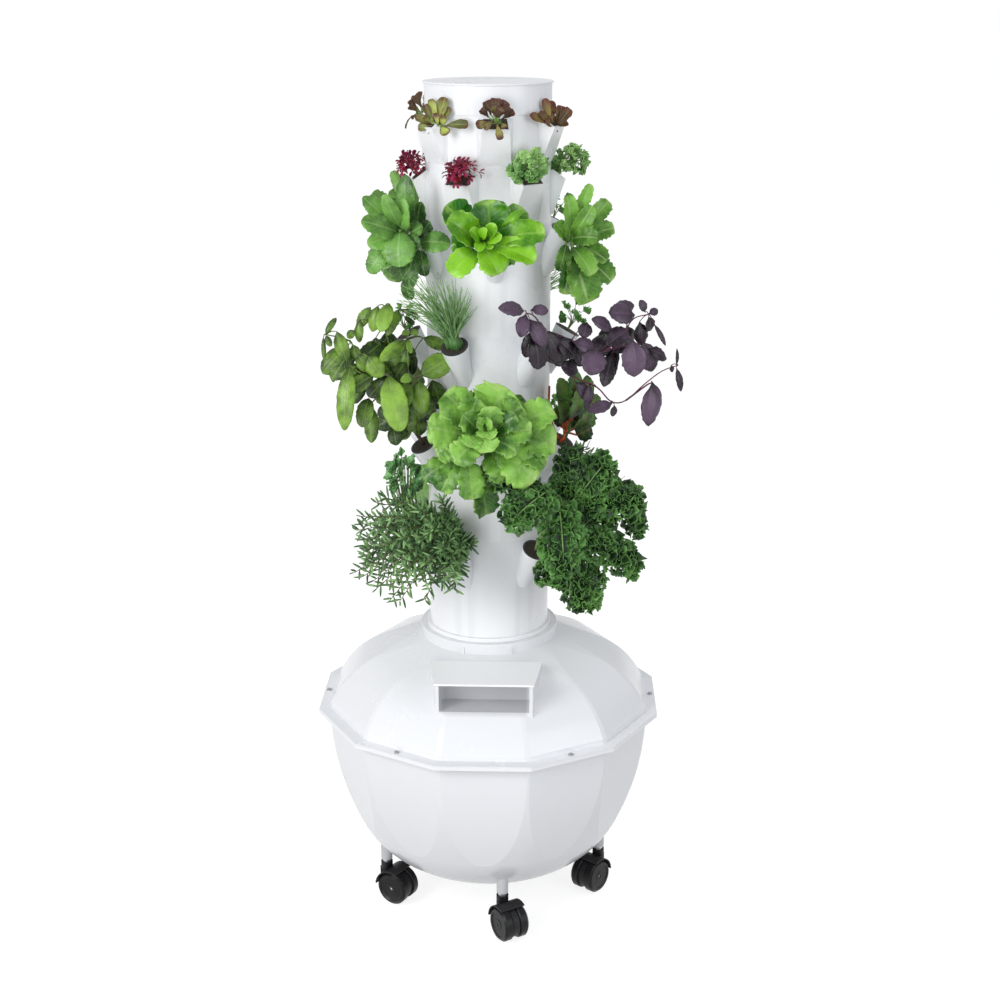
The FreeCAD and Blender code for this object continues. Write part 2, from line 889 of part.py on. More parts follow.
def top_cap():
    """The drum over the last section, with a thin lip round its top."""
    body = new_body("top_cap")
    low = short_foot(SHORT_SECTIONS) + lift_gap
    top = short_foot(SHORT_SECTIONS) + size("cap_height")
    lip = tower_radius + size("cap_lip_stand")
    lip_low = top - size("cap_lip_height")
    skin = size("tower_wall")
    revolve(body, "cap", [
        (tower_bore, low), (tower_radius, low), (tower_radius, lip_low), (lip, lip_low + 1),
        (lip, top - 1), (lip - 1, top), (0, top), (0, top - skin), (tower_bore, top - skin)])
    return keep(body)


def shower_tray():
    """A shallow dish on the last spigot that drips the water round the tower."""
    body = new_body("shower_tray")
    seat = short_foot(SHORT_SECTIONS) + size("spigot_height")
    thick = size("tray_thick")
    side = spigot_bore - fit_gap
    brim = spigot_radius - fit_gap
    floor = seat - size("tray_depth")
    centre = size("riser_radius") + fit_gap
    sleeve_top = floor + size("tray_sleeve")
    revolve(body, "tray", [
        (centre, floor), (side, floor), (side, seat), (brim, seat), (brim, seat + thick),
        (side - thick, seat + thick), (side - thick, floor + thick), (centre + thick, floor + thick),
        (centre + thick, sleeve_top), (centre, sleeve_top)])
    sketch = new_sketch(body, "drip_hole_circle", "XY_Plane", floor - 1)
    draw_circle(sketch, size("tray_hole_radius"), size("tray_hole_circle"), 0)
    drip = extrude(body, "drip_hole", sketch, thick + 2, "Pocket")
    drip.Reversed = True
    polar(body, "drip_holes", [drip], TRAY_HOLES)
    return keep(body)


def pipe(label, outer, skin, low, high):
    body = new_body(label)
    revolve(body, "pipe", [(outer - skin, low), (outer, low), (outer, high), (outer - skin, high)])
    return keep(body)


def riser():
    """Two pipes from the pump to the tray, which meet at the stop inside a coupling."""
    radius, skin = size("riser_radius"), size("riser_wall")
    joint = rim_height + size("riser_joint")
    stop = size("riser_stop") / 2
    half = size("coupling_length") / 2
    spout_top = bowl_floor + size("pump_foot_height") + size("pump_height")
    tray_floor = short_foot(SHORT_SECTIONS) + size("spigot_height") - size("tray_depth")
    pipe("riser_pipe_lower", radius, skin, spout_top, joint - stop)
    pipe("riser_pipe_upper", radius, skin, joint + stop, tray_floor + size("tray_sleeve") + PAST)
    body = new_body("riser_coupling")
    outer = radius + size("coupling_wall")
    grip = radius + run_gap
    revolve(body, "sleeve", [
        (grip, joint - half), (outer, joint - half), (outer, joint + half), (grip, joint + half),
        (grip, joint + stop), (radius - skin, joint + stop), (radius - skin, joint - stop),
        (grip, joint - stop)])
    keep(body)


# Pump
def pump():
    """A submersible pump: its housing, its slotted strainer, the impeller and four rubber feet."""
    length, width, height = size("pump_length"), size("pump_width"), size("pump_height")
    cover = size("pump_cover_thick")
    base = bowl_floor + size("pump_foot_height")
    axis_height = base + height / 2
    pump_housing(base, axis_height, length - cover, width, height)
    pump_strainer(base, (cover - length) / 2, cover, width, height)
    pump_impeller(axis_height)
    pump_feet(length, width)


def pump_housing(base, axis_height, length, width, height):
    """A block with a spout on top, hollow where the impeller turns and the water flows."""
    chamber, chamber_length = size("chamber_radius"), size("chamber_length")
    spout, rise = size("riser_radius") - size("riser_wall") - run_gap, size("pump_spout_height")
    case = block("pump_case", width, length, height, y=size("pump_cover_thick") / 2, z=base)
    nozzle = cylinder("pump_nozzle", spout, rise + OVERLAP, z=base + height - OVERLAP)
    outlet = cylinder("pump_outlet", spout - size("spout_wall"), rise + height / 2 + PAST, z=axis_height)
    drum = cross_rod("pump_chamber", chamber, chamber_length, z=axis_height)
    inlet = cross_rod("pump_inlet", chamber / 2, length * INLET_SHARE, z=axis_height)
    bind(inlet, "Placement.Base.y", -(chamber_length / 2) + PAST)
    bearing_length = chamber_length + (size("shaft_seat") + size("shaft_end_gap")) * 2
    bearing = cross_rod("pump_bearing", size("shaft_radius") + run_gap, bearing_length, z=axis_height)
    solid = fuse("pump_solid", [case, nozzle])
    keep(cut("pump_housing", solid, fuse("pump_voids", [outlet, drum, inlet, bearing])))


def pump_strainer(base, middle, thick, width, height):
    """A hollow front cover with upright slots. It is open toward the housing."""
    rim, skin, margin = size("strainer_rim"), size("strainer_skin"), size("slot_margin")
    cover = block("strainer_block", width, thick, height, y=middle, z=base)
    well = block("strainer_well", width - rim * 2, thick - skin, height - rim * 2,
                 y=middle + skin / 2, z=base + rim)
    slots = []
    for number in range(STRAINER_SLOTS):
        across = size("slot_pitch") * (number - (STRAINER_SLOTS - 1) / 2)
        slots.append(block(f"strainer_slot_{number}", size("slot_width"), thick + PAST * 2,
                           height - margin * 2, x=across, y=middle, z=base + margin))
    keep(cut("pump_strainer", cover, fuse("strainer_voids", [well] + slots)))


def pump_impeller(axis_height):
    """A hub on a shaft with four vanes, made as two crossing plates."""
    gap, thick = size("impeller_gap"), size("vane_thick")
    hub_length = size("chamber_length") - gap * 2
    reach = size("chamber_radius") - gap - VANE_SETBACK
    hub = cross_rod("impeller_hub", size("chamber_radius") * HUB_SHARE, hub_length, z=axis_height)
    shaft = cross_rod("impeller_shaft", size("shaft_radius"),
                      size("chamber_length") + size("shaft_seat") * 2, z=axis_height)
    plate = hub_length - HUB_RIM * 2
    vane = block("impeller_vane", reach * 2, plate, thick, z=axis_height - thick / 2)
    upright = block("impeller_upright", thick, plate, reach * 2, z=axis_height - reach)
    keep(fuse("pump_impeller", [hub, shaft, vane, upright]))


def pump_feet(length, width):
    """Four tapered rubber feet between the housing and the bowl's floor."""
    radius = size("pump_foot_radius")
    feet = []
    for x_side in (-1, 1):
        for y_side in (-1, 1):
            cup = doc.addObject("Part::Cone", f"foot_{x_side}_{y_side}".replace("-", "m"))
            bind(cup, "Radius1", radius)
            bind(cup, "Radius2", radius * FOOT_TAPER)
            bind(cup, "Height", size("pump_foot_height"))
            x = (width / 2 - radius - FOOT_INSET) * x_side
            y = (length / 2 - radius - size("pump_cover_thick") - FOOT_INSET) * y_side
            feet.append(place(cup, x, y, bowl_floor))
    group = doc.addObject("Part::Compound", "pump_feet")
    group.Label = "pump_feet"
    group.Links = feet
    keep(group)


# Net pots, plugs and growing medium
def net_pot():
    """A tapered pot that hangs by its rim in a port, with windows in its side and floor."""
    body = new_body("net_pot")
    taper = (size("port_mouth_radius") - size("port_throat_radius")) / size("port_length")
    skin, depth = size("pot_wall"), size("pot_depth")
    outer_top = size("port_mouth_radius") - size("port_wall") - fit_gap
    outer_low = outer_top - taper * depth
    rim = size("pot_rim_thick")
    window_low, window_top = size("pot_window_bottom"), size("pot_window_top")
    axis = port_axis()
    revolve(body, "pot", [
        along_port(depth, outer_low * 0.4), along_port(depth, outer_low), along_port(0, outer_top),
        along_port(0, size("port_mouth_radius")), along_port(-rim, size("port_mouth_radius")),
        along_port(-rim, outer_top - skin), along_port(depth - skin, outer_low - skin),
        along_port(depth - skin, outer_low * 0.4)], axis=axis)
    window = revolve(body, "window", [
        along_port(window_low, outer_low - skin * 3), along_port(window_low, outer_top + 2),
        along_port(window_top, outer_top + 2), along_port(window_top, outer_low - skin * 3)],
        "Groove", axis, 180.0 / POT_WINDOWS)
    ring = body.newObject("PartDesign::PolarPattern", "windows")
    ring.Originals = [window]
    ring.Axis = (window.Profile[0], ["Axis0"])
    ring.Angle = 360.0
    ring.Occurrences = POT_WINDOWS
    body.Tip = ring
    return body


def grow_plug():
    """The plug of growing foam that fills a net pot."""
    body = new_body("grow_plug")
    taper = (size("port_mouth_radius") - size("port_throat_radius")) / size("port_length")
    skin = size("pot_wall")
    top = size("port_mouth_radius") - size("port_wall") - fit_gap - skin - fit_gap
    depth = size("pot_depth") - skin
    rim = size("pot_rim_thick")
    revolve(body, "plug", [
        along_port(-rim, 0), along_port(depth, 0), along_port(depth, top - taper * depth),
        along_port(-rim, top)], axis=port_axis())
    return body


def soil_block():
    """The growing medium in one wedge pocket."""
    body = new_body("soil_block")
    skin = size("pocket_wall") + fit_gap
    foot = size("pocket_foot") + 4 + fit_gap
    lip_height = size("pocket_lip_height")
    top = size("pocket_top") - 4 - fit_gap
    inner = spigot_bore + 1.5
    front = size("pocket_lip_circle") - skin
    back = tower_radius + fit_gap
    prism(body, "soil", [
        (inner, foot), (pocket_front(foot) - skin, foot), (front, lip_height),
        (front, pocket_mouth(front) - fit_gap), (back, pocket_mouth(back) - fit_gap), (back, top),
        (inner, top)],
        size("pocket_lip_width") - size("pocket_wall") * 2 - fit_gap, "XZ_Plane", middle=True)
    return body


def row_place(row):
    """Foot height and turn of the section of a row, counted from 1 at the top."""
    if row <= SHORT_SECTIONS:
        index = SHORT_SECTIONS - row
        return short_foot(index).number, section_turn(index).number
    index = TALL_SECTIONS - 1 - (row - SHORT_SECTIONS - 1)
    return (tower_foot + size("tall_height") * index).number, section_turn(index).number


def pots_and_plugs():
    pot, plug, soil = ready(net_pot()), ready(grow_plug()), ready(soil_block())
    plugs, soils = [], []
    for row in range(1, SHORT_SECTIONS + TALL_SECTIONS + 1):
        foot, turn = row_place(row)
        if row <= SHORT_SECTIONS:
            soils += turned_copies(soil, PORTS, turn, foot)
            continue
        copies = turned_copies(pot, PORTS, turn, foot)
        keep(shape_feature(f"net_pots_row_{row}", Part.makeCompound(copies)))
        plugs += turned_copies(plug, PORTS, turn, foot)
    keep(shape_feature("grow_plugs", Part.makeCompound(plugs)))
    keep(shape_feature("pocket_soil", Part.makeCompound(soils)))


# Casters
def caster(index):
    """One swivel caster: stem, hooded housing, axle and two wheels, about its own stem."""
    number = index + 1
    azimuth = size("caster_turn") + 360.0 / CASTERS * index
    x, y = azimuth_point(size("caster_circle"), azimuth)
    turn = CASTER_HEADINGS[index] - 90.0
    trail = size("caster_trail")
    wheel = size("wheel_radius")
    span = size("web_width") + size("wheel_gap") * 2 + size("wheel_width") * 2
    axle = size("axle_radius")
    parts = {}
    hub_radius, hub_foot = size("hub_radius"), size("hub_foot")
    hub = cylinder(f"hub_{number}", hub_radius, size("hub_top") - hub_foot, z=hub_foot)
    web = cross_rod(f"web_{number}", wheel - 4, size("web_width"), trail, wheel)
    bridge = block(f"bridge_{number}", trail + hub_radius, size("web_width"), hub_foot - wheel + 1,
                   x=(trail - hub_radius) / 2, z=wheel)
    shell_in = wheel + size("hood_gap")
    shell_out = shell_in + size("hood_shell")
    hood = cut(f"hood_{number}", cross_rod(f"hood_out_{number}", shell_out, span, trail, wheel),
               cross_rod(f"hood_in_{number}", shell_in, span + 2, trail, wheel))
    keeper = block(f"hood_keep_{number}", shell_out + 14, span + 4, shell_out + 4,
                   x=trail - (shell_out - 14) / 2, z=wheel + 4)
    crown = common(f"hood_part_{number}", hood, keeper)
    body = fuse(f"housing_solid_{number}", [hub, web, bridge, crown])
    bores = fuse(f"housing_bores_{number}", [
        cross_rod(f"axle_bore_{number}", axle + run_gap, span, trail, wheel),
        cylinder(f"stem_bore_{number}", size("stem_radius"), 40.0, z=size("hub_top") - size("stem_reach"))])
    parts["housing"] = cut(f"caster_{number}_housing", body, bores)
    stem = new_body(f"caster_{number}_stem")
    shank = size("stem_radius")
    low = size("hub_top") - size("stem_reach")
    collar = size("socket_bottom") - fit_gap
    top = size("socket_bottom") + 20
    revolve(stem, "stem", [
        (0, low), (shank, low), (shank, size("hub_top")), (size("stem_flange_radius"), size("hub_top")),
        (size("stem_flange_radius"), collar), (shank, collar), (shank, top - 1), (shank - 1, top),
        (0, top)])
    parts["stem"] = stem
    parts["axle"] = cross_rod(f"caster_{number}_axle", axle, span - 6, trail, wheel)
    for side, word in ((-1, "left"), (1, "right")):
        parts[f"wheel_{word}"] = caster_wheel(number, side, word)
    for piece in parts.values():
        moved = FreeCAD.Placement(
            FreeCAD.Vector(x.number, y.number, 0),
            FreeCAD.Rotation(FreeCAD.Vector(0, 0, 1), turn)).multiply(piece.Placement)
        piece_place(piece, moved)
    for word, piece in parts.items():
        piece.Label = f"caster_{number}_{word}"
        keep(piece)


def piece_place(piece, placement):
    """Gives an object a fixed place, after its own expressions have set its shape."""
    for prop in ("x", "y", "z"):
        piece.setExpression(f"Placement.Base.{prop}", None)
    piece.Placement = placement


def caster_wheel(number, side, word):
    """A dished wheel with a tread, a shallow face and a hub."""
    body = new_body(f"caster_{number}_wheel_{word}")
    wheel, width = size("wheel_radius"), size("wheel_width")
    inner = size("web_width") / 2 + size("wheel_gap")
    bore = size("axle_radius") + size("run_gap")
    trail = size("caster_trail")
    outline = [
        (bore, inner), (wheel - 2, inner), (wheel, inner + 2), (wheel, inner + width - 5),
        (wheel - 5, inner + width), (wheel - 9, inner + width), (wheel - 12, inner + width - 2),
        (12, inner + width - 2), (10, inner + width - 1), (bore, inner + width - 1)]
    corners = [(across * -side, wheel + radius) for radius, across in outline]
    sketch = new_sketch(body, "wheel_outline", "YZ_Plane", trail)
    draw_outline(sketch, corners)
    draw_axis(sketch, (0, wheel), (10, wheel))
    item = feature(body, "Revolution", "wheel", sketch)
    item.ReferenceAxis = (sketch, ["Axis0"])
    item.Angle = 360.0
    return body


def caster_sockets():
    """Five collars that grow out of the bowl's underside and hold the stems."""
    outer = bowl_form("socket_trim", as_size(0.0))
    low = size("socket_bottom")
    posts, bores = [], []
    for index in range(CASTERS):
        azimuth = size("caster_turn") + 360.0 / CASTERS * index
        x, y = azimuth_point(size("caster_circle"), azimuth)
        posts.append(cylinder(f"socket_post_{index}", size("socket_radius"), 60.0, x, y, low))
        bores.append(cylinder(f"socket_bore_{index}", size("stem_radius") + run_gap, 20.5, x, y, low))
    solid = fuse("socket_posts", posts)
    trimmed = cut("socket_blanks", solid, outer)
    return keep(cut("caster_sockets", trimmed, fuse("socket_bores", bores)))


# Plants, one for each port: a stalk that stands on the plug, and clumps of foliage with twelve
# pointed lobes each
# Clumps of a kind: where the middle is, out from the port, to its side and above it; how far its
# lobes reach from there outwards, sideways and upwards; and the share of that between the lobes
PLANT_KINDS = {
    "oakleaf": [(14, 0, 14, 40, 40, 36, 0.5)],
    "amaranth": [(14, 8, 18, 38, 35, 33, 0.45)],
    "frilly": [(18, -10, 20, 38, 38, 35, 0.5)],
    "butterhead": [(60, -16, 12, 80, 104, 76, 0.6)],
    "cabbage_head": [(66, -21, 26, 96, 134, 130, 0.65)],
    "spinach": [(54, 10, -4, 84, 92, 124, 0.55)],
    "romaine": [(44, -10, -18, 64, 72, 118, 0.6)],
    "chives": [(30, -19, 84, 60, 62, 74, 0.35)],
    "purple_basil": [(72, -60, 35, 50, 92, 78, 0.6), (112, 132, 8, 62, 100, 92, 0.55),
                     (128, 190, -112, 26, 38, 62, 0.6)],
    "parsley": [(10, 0, 28, 36, 36, 42, 0.5)],
    "basil": [(90, 0, 172, 124, 128, 142, 0.6)],
    "chard": [(30, 0, 84, 46, 46, 80, 0.45)],
    "rosemary": [(88, -60, 24, 112, 132, 122, 0.65)],
    "oregano": [(32, 0, 150, 50, 50, 54, 0.5)],
    "kale": [(110, 8, 80, 128, 188, 170, 0.55)],
}
# The kinds in each row from the top, from the port nearest the front and on towards +X
PLANT_ROWS = {
    1: ("oakleaf", "oakleaf", "oakleaf", "oakleaf", "oakleaf", "oakleaf"),
    2: ("frilly", "frilly", "amaranth", "frilly", "amaranth", "amaranth"),
    3: ("butterhead", "romaine", "parsley", "butterhead", "romaine", "spinach"),
    4: ("purple_basil", "parsley", "chives", "parsley", "parsley", "chives"),
    5: ("cabbage_head", "chard", "parsley", "cabbage_head", "chard", "basil"),
    6: ("kale", "oregano", "rosemary", "romaine", "oregano", "rosemary"),
}
STALK_TAPER = 0.7
UP = FreeCAD.Vector(0, 0, 1)


def ball_mesh():
    """The corners and triangles of an icosahedron with each face split in four, corners first."""
    tall = (1 + math.sqrt(5)) / 2
    spots = []
    for a in (-1, 1):
        for b in (-tall, tall):
            spots += [(0, a, b), (a, b, 0), (b, 0, a)]
    spots = [FreeCAD.Vector(*spot).normalize() for spot in spots]
    reach = min(spots[0].distanceToPoint(spot) for spot in spots[1:]) + 0.01
    near = [[spots[i].distanceToPoint(spots[j]) < reach for j in range(12)] for i in range(12)]
    middles, triangles = {}, []

    def middle(i, j):
        key = (min(i, j), max(i, j))
        if key not in middles:
            middles[key] = len(spots)
            spots.append((spots[i] + spots[j]).normalize())
        return middles[key]

    for i in range(12):
        for j in range(i + 1, 12):
            for k in range(j + 1, 12):
                if near[i][j] and near[j][k] and near[i][k]:
                    ij, jk, ki = middle(i, j), middle(j, k), middle(k, i)
                    triangles += [(i, ij, ki), (j, jk, ij), (k, ki, jk), (ij, jk, ki)]
    return spots, triangles


BALL_SPOTS, BALL_TRIANGLES = ball_mesh()
LOBES = 12


def port_frame(row, port):
    """The plant's foot in a port, the port's axis and its way out from the tower."""
    foot, turn = row_place(row)
    angle = math.radians(turn + 90.0 + 360.0 / PORTS * port)
    if row <= SHORT_SECTIONS:
        radius = (tower_radius.number + size("pocket_lip_circle").number) / 2
        height = foot + (size("pocket_top").number + size("pocket_lip_height").number) / 2
    else:
        radius = size("port_circle").number
        height = foot + size("port_height").number
    tilt = math.radians(size("port_tilt").number)
    way_out = FreeCAD.Vector(math.sin(angle), -math.cos(angle), 0)
    axis = way_out * math.sin(tilt) + UP * math.cos(tilt)
    return way_out * radius + UP * height, axis, way_out


def plant_foliage(middle, reaches, fullness, spin):
    """A closed form whose corners reach out as lobes and which is drawn in between them."""
    turn = FreeCAD.Rotation(FreeCAD.Vector(0.3, 0.2, 1), spin)
    corners = []
    for index, spot in enumerate(BALL_SPOTS):
        toward = turn.multVec(spot) * (1.0 if index < LOBES else fullness)
        corner = FreeCAD.Vector(middle)
        for share, (direction, reach) in zip(toward, reaches):
            corner += direction * (share * reach)
        corners.append(corner)
    faces = []
    for triangle in BALL_TRIANGLES:
        spots = [corners[index] for index in triangle]
        faces.append(Part.Face(Part.makePolygon(spots + spots[:1])))
    solid = Part.Solid(Part.Shell(faces))
    if solid.Volume < 0:
        solid.reverse()
    return solid


def plant_stalk(foot, axis, middles, girth):
    """A neck along the port's axis and a stem from its end to the middle of every clump."""
    knee = foot + axis * (girth * 2)
    neck = Part.makeCone(girth * 1.2, girth, girth * 2 + 2, foot - axis * 2, axis)
    forms = [Part.makeSphere(girth, knee)]
    for index, middle in enumerate(middles):
        way = middle - knee
        thick = girth if index == 0 else girth * STALK_TAPER
        forms.append(Part.makeCone(thick, thick * STALK_TAPER, way.Length, knee, way))
    return neck.multiFuse(forms)


def plant_forms(row, port):
    """The stalk and the clumps of foliage of a plant, before anything is cut from them."""
    foot, axis, way_out = port_frame(row, port)
    sideways = way_out.cross(UP) * -1
    girth = 5.0 if row <= SHORT_SECTIONS else 10.0
    spin = 25.0 * row + 40.0 * (port % (PORTS // 2))
    middles, clumps = [], []
    for out, side, up, reach_out, reach_side, reach_up, fullness in PLANT_KINDS[PLANT_ROWS[row][port]]:
        middle = foot + way_out * out + sideways * side + UP * up
        reaches = ((way_out, reach_out), (sideways, reach_side), (UP, reach_up))
        middles.append(middle)
        clumps.append(plant_foliage(middle, reaches, fullness, spin))
    return plant_stalk(foot, axis, middles, girth), clumps


def trimmed(shape, blocked, foot):
    """What is left of a shape outside the others, on the side of its foot."""
    near = [solid for solid in blocked if solid.BoundBox.intersect(shape.BoundBox)]
    rest = shape.cut(near) if near else shape
    spot = Part.Vertex(foot)
    return min(rest.Solids, key=lambda solid: solid.distToShape(spot)[0])


def pocket_block():
    """The outer form of a wedge pocket with its growing medium, on +X."""
    inner = tower_radius.number
    lip = size("pocket_lip_circle").number
    half = size("pocket_root_width").number / 2 + PLANT_GAP
    spots = [(inner, size("pocket_foot").number), (lip, size("pocket_lip_height").number),
             (inner, size("pocket_top").number)]
    corners = [FreeCAD.Vector(x, -half, z) for x, z in spots]
    face = Part.Face(Part.makePolygon(corners + corners[:1]))
    return face.extrude(FreeCAD.Vector(0, half * 2, 0))


def keep_clear():
    """Simple solids of the tower and its ports, with their pots, plugs and growing medium."""
    top = short_foot(SHORT_SECTIONS).number + size("cap_height").number + 10
    low = tower_foot.number - 10
    blocked = [Part.makeCylinder(tower_radius.number + PLANT_GAP, top - low, FreeCAD.Vector(0, 0, low))]
    rim = size("pot_rim_thick").number
    mouth = size("port_mouth_radius").number
    for row in range(1, SHORT_SECTIONS + TALL_SECTIONS + 1):
        if row <= SHORT_SECTIONS:
            level, turn = row_place(row)
            blocked += turned_copies(pocket_block(), PORTS, turn, level)
            continue
        for port in range(PORTS):
            foot, axis, way_out = port_frame(row, port)
            blocked.append(Part.makeCone(
                mouth + PLANT_GAP, size("port_throat_radius").number, size("port_length").number,
                foot + axis * rim, axis * -1))
    return blocked


def plants():
    """All plants. Every stalk is set before any foliage, so that none cuts a neighbour's stalk."""
    blocked = keep_clear()
    spots = [(row, port) for row in sorted(PLANT_ROWS) for port in range(PORTS)]
    feet = {spot: port_frame(*spot)[0] for spot in spots}
    forms = {spot: plant_forms(*spot) for spot in spots}
    stalks, grown = {}, {}
    for spot in spots:
        stalks[spot] = trimmed(forms[spot][0], blocked + list(stalks.values()), feet[spot])
    for spot in spots:
        others = [stalk for other, stalk in stalks.items() if other != spot]
        whole = stalks[spot].multiFuse(forms[spot][1])
        grown[spot] = trimmed(whole, blocked + others + list(grown.values()), feet[spot])
    for row in sorted(PLANT_ROWS):
        plants_of_row = [grown[row, port] for port in range(PORTS)]
        keep(shape_feature(f"plants_row_{row}", Part.makeCompound(plants_of_row)))


def check_all():
    """Every object has computed, and every piece has a valid shape."""
    for item in doc.Objects:
        for word in ("Invalid", "Error"):
            if word in item.State:
                raise RuntimeError(f"{item.Label} is {item.State}")
    for piece in PIECES:
        if piece.Shape.isNull() or not piece.Shape.isValid() or not piece.Shape.Solids:
            raise RuntimeError(f"{piece.Label} has no valid shape")


def write_all():
    os.makedirs("parts", exist_ok=True)
    for piece in PIECES:
        piece.Shape.exportStep(f"parts/{piece.Label}.step")
        print(piece.Label, len(piece.Shape.Solids), round(piece.Shape.Volume / 1000.0, 1), "cm3")


reservoir_bowl()
reservoir_lid()
lid_screws()
access_cover()
cord_grommet()
base_ring()
for number in range(TALL_SECTIONS):
    tall_section(number)
for number in range(SHORT_SECTIONS):
    short_section(number)
top_cap()
shower_tray()
riser()
pump()
for number in range(CASTERS):
    caster(number)
caster_sockets()
doc.recompute()
pots_and_plugs()
plants()
doc.recompute()
check_all()
write_all()
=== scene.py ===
import json
import math
import random
import bpy
import numpy as np
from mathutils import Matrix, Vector


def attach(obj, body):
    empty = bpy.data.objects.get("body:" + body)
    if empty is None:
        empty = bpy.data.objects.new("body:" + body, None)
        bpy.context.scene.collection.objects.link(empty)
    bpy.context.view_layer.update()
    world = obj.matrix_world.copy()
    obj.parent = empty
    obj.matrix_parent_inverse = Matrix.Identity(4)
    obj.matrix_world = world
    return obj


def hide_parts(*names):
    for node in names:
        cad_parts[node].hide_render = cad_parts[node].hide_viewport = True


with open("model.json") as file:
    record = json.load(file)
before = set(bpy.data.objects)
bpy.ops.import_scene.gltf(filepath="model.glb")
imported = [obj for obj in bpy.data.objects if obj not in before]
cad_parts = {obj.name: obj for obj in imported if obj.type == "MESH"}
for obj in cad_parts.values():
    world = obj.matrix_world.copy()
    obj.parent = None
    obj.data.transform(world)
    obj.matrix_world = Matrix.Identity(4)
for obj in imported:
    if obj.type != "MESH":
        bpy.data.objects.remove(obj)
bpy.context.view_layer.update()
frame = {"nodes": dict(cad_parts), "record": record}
scene = bpy.context.scene
scene.view_settings.view_transform = "Standard"

# Places of the ports, in metres, with the turns of the rows in degrees
TOWER_FOOT = 0.629
TALL, SHORT = 0.218, 0.108
TALL_SECTIONS = 4
PORTS = 6
PORT_CIRCLE, PORT_HEIGHT = 0.166, 0.203
POCKET_CIRCLE, POCKET_HEIGHT = 0.14175, 0.0925
PORT_TILT = math.radians(30.0)
ODD_TURN, EVEN_TURN = 8.0, 38.0
UP = np.array([0.0, 0.0, 1.0])

# Turn from one stem to the next that spreads them evenly
GOLDEN_TURN = math.radians(137.5)
# Depth under a pot's mouth at which stems begin
ROOT_DEPTH = 0.006
# Shorter leaves than this are left out
SHORTEST_LEAF = 1e-4
# Power by which the rows of a leaf crowd toward its tip
TIP_CROWDING = 1.5
# Kale leaves of this tone and above show their midrib
RIBBED_TONE = 0.6

LENS, SENSOR = 59.49, 36.0
CAMERA_PLACE = (0.1261, -3.3912, 1.9672)
CAMERA_DOWN, CAMERA_TURN = 17.46, 1.723
FLOOR_HALF, FLOOR_DROP = 60.0, 0.0005
FLOOR_GREY, FLOOR_GLOW = 0.34, 0.82
AMBIENT = 0.62
AMBIENT_TINT = (0.97, 0.98, 1.0)
LAMP_TARGET = (0.0, 0.0, 0.9)

DUST_COLOUR = (0.32, 0.30, 0.27)
GRIME_HEIGHT = 0.03
# Grey painted on the faces inside the lid's hand bay: painted shade under its hood
PAINTED_BAY_SHADE = (0.54, 0.55, 0.57)
# The hand bay of the lid, from its lowest to its highest corner; its faces get a grey painted shade
HAND_BAY = ((-0.095, -0.326, 0.524), (0.095, -0.205, 0.600))
COLUMN_WHITE = (0.84, 0.855, 0.885)


# Camera, floor and light
def make_camera():
    data = bpy.data.cameras.new("photo_camera")
    data.sensor_width = SENSOR
    data.lens = LENS
    camera = bpy.data.objects.new("photo_camera", data)
    camera.location = CAMERA_PLACE
    camera.rotation_euler = (math.radians(90.0 - CAMERA_DOWN), 0.0, math.radians(CAMERA_TURN))
    scene.collection.objects.link(camera)
    scene.camera = camera


def new_material(name):
    material = bpy.data.materials.new(name)
    material.use_nodes = True
    material.node_tree.nodes.clear()
    return material


class Nodes:
    """Short calls for building a node tree."""

    def __init__(self, tree):
        self.tree = tree

    def add(self, kind, **settings):
        node = self.tree.nodes.new(kind)
        for key, value in settings.items():
            setattr(node, key, value)
        return node

    def put(self, socket, value):
        if isinstance(value, bpy.types.NodeSocket):
            self.tree.links.new(value, socket)
        elif value is not None:
            if hasattr(value, "__len__") and len(value) == 3 and len(socket.default_value) == 4:
                value = (*value, 1.0)
            socket.default_value = value

    def math(self, operation, first, second=None, third=None, clamp=False):
        node = self.add("ShaderNodeMath", operation=operation, use_clamp=clamp)
        for socket, value in zip(node.inputs, (first, second, third)):
            self.put(socket, value)
        return node.outputs[0]

    def mix(self, share, first, second, blend="MIX"):
        node = self.add("ShaderNodeMix", data_type="RGBA", blend_type=blend)
        self.put(node.inputs[0], share)
        self.put(node.inputs[6], first)
        self.put(node.inputs[7], second)
        return node.outputs[2]

    def ramp(self, value, low, high, to_low=0.0, to_high=1.0, smooth=True):
        node = self.add("ShaderNodeMapRange", interpolation_type="SMOOTHSTEP" if smooth else "LINEAR")
        for index, number in enumerate((value, low, high, to_low, to_high)):
            self.put(node.inputs[index], number)
        return node.outputs[0]

    def split(self, vector):
        node = self.add("ShaderNodeSeparateXYZ")
        self.put(node.inputs[0], vector)
        return node.outputs

    def object_place(self):
        return self.add("ShaderNodeTexCoord").outputs["Object"]

    def leaf_facts(self):
        return self.split(self.add("ShaderNodeAttribute", attribute_name="leaf").outputs["Vector"])

    def noise(self, scale, detail=3.0, rough=0.5, vector=None):
        node = self.add("ShaderNodeTexNoise")
        for name, value in {"Scale": scale, "Detail": detail, "Roughness": rough}.items():
            self.put(node.inputs[name], value)
        self.put(node.inputs["Vector"], vector or self.object_place())
        return node.outputs[0]

    def bump(self, height, strength, distance):
        node = self.add("ShaderNodeBump")
        for name, value in {"Strength": strength, "Distance": distance, "Height": height}.items():
            self.put(node.inputs[name], value)
        return node.outputs[0]

    def principled(self, **inputs):
        shader = self.add("ShaderNodeBsdfPrincipled")
        for name, value in inputs.items():
            self.put(shader.inputs[name.replace("_", " ")], value)
        output = self.add("ShaderNodeOutputMaterial")
        self.put(output.inputs["Surface"], shader.outputs[0])


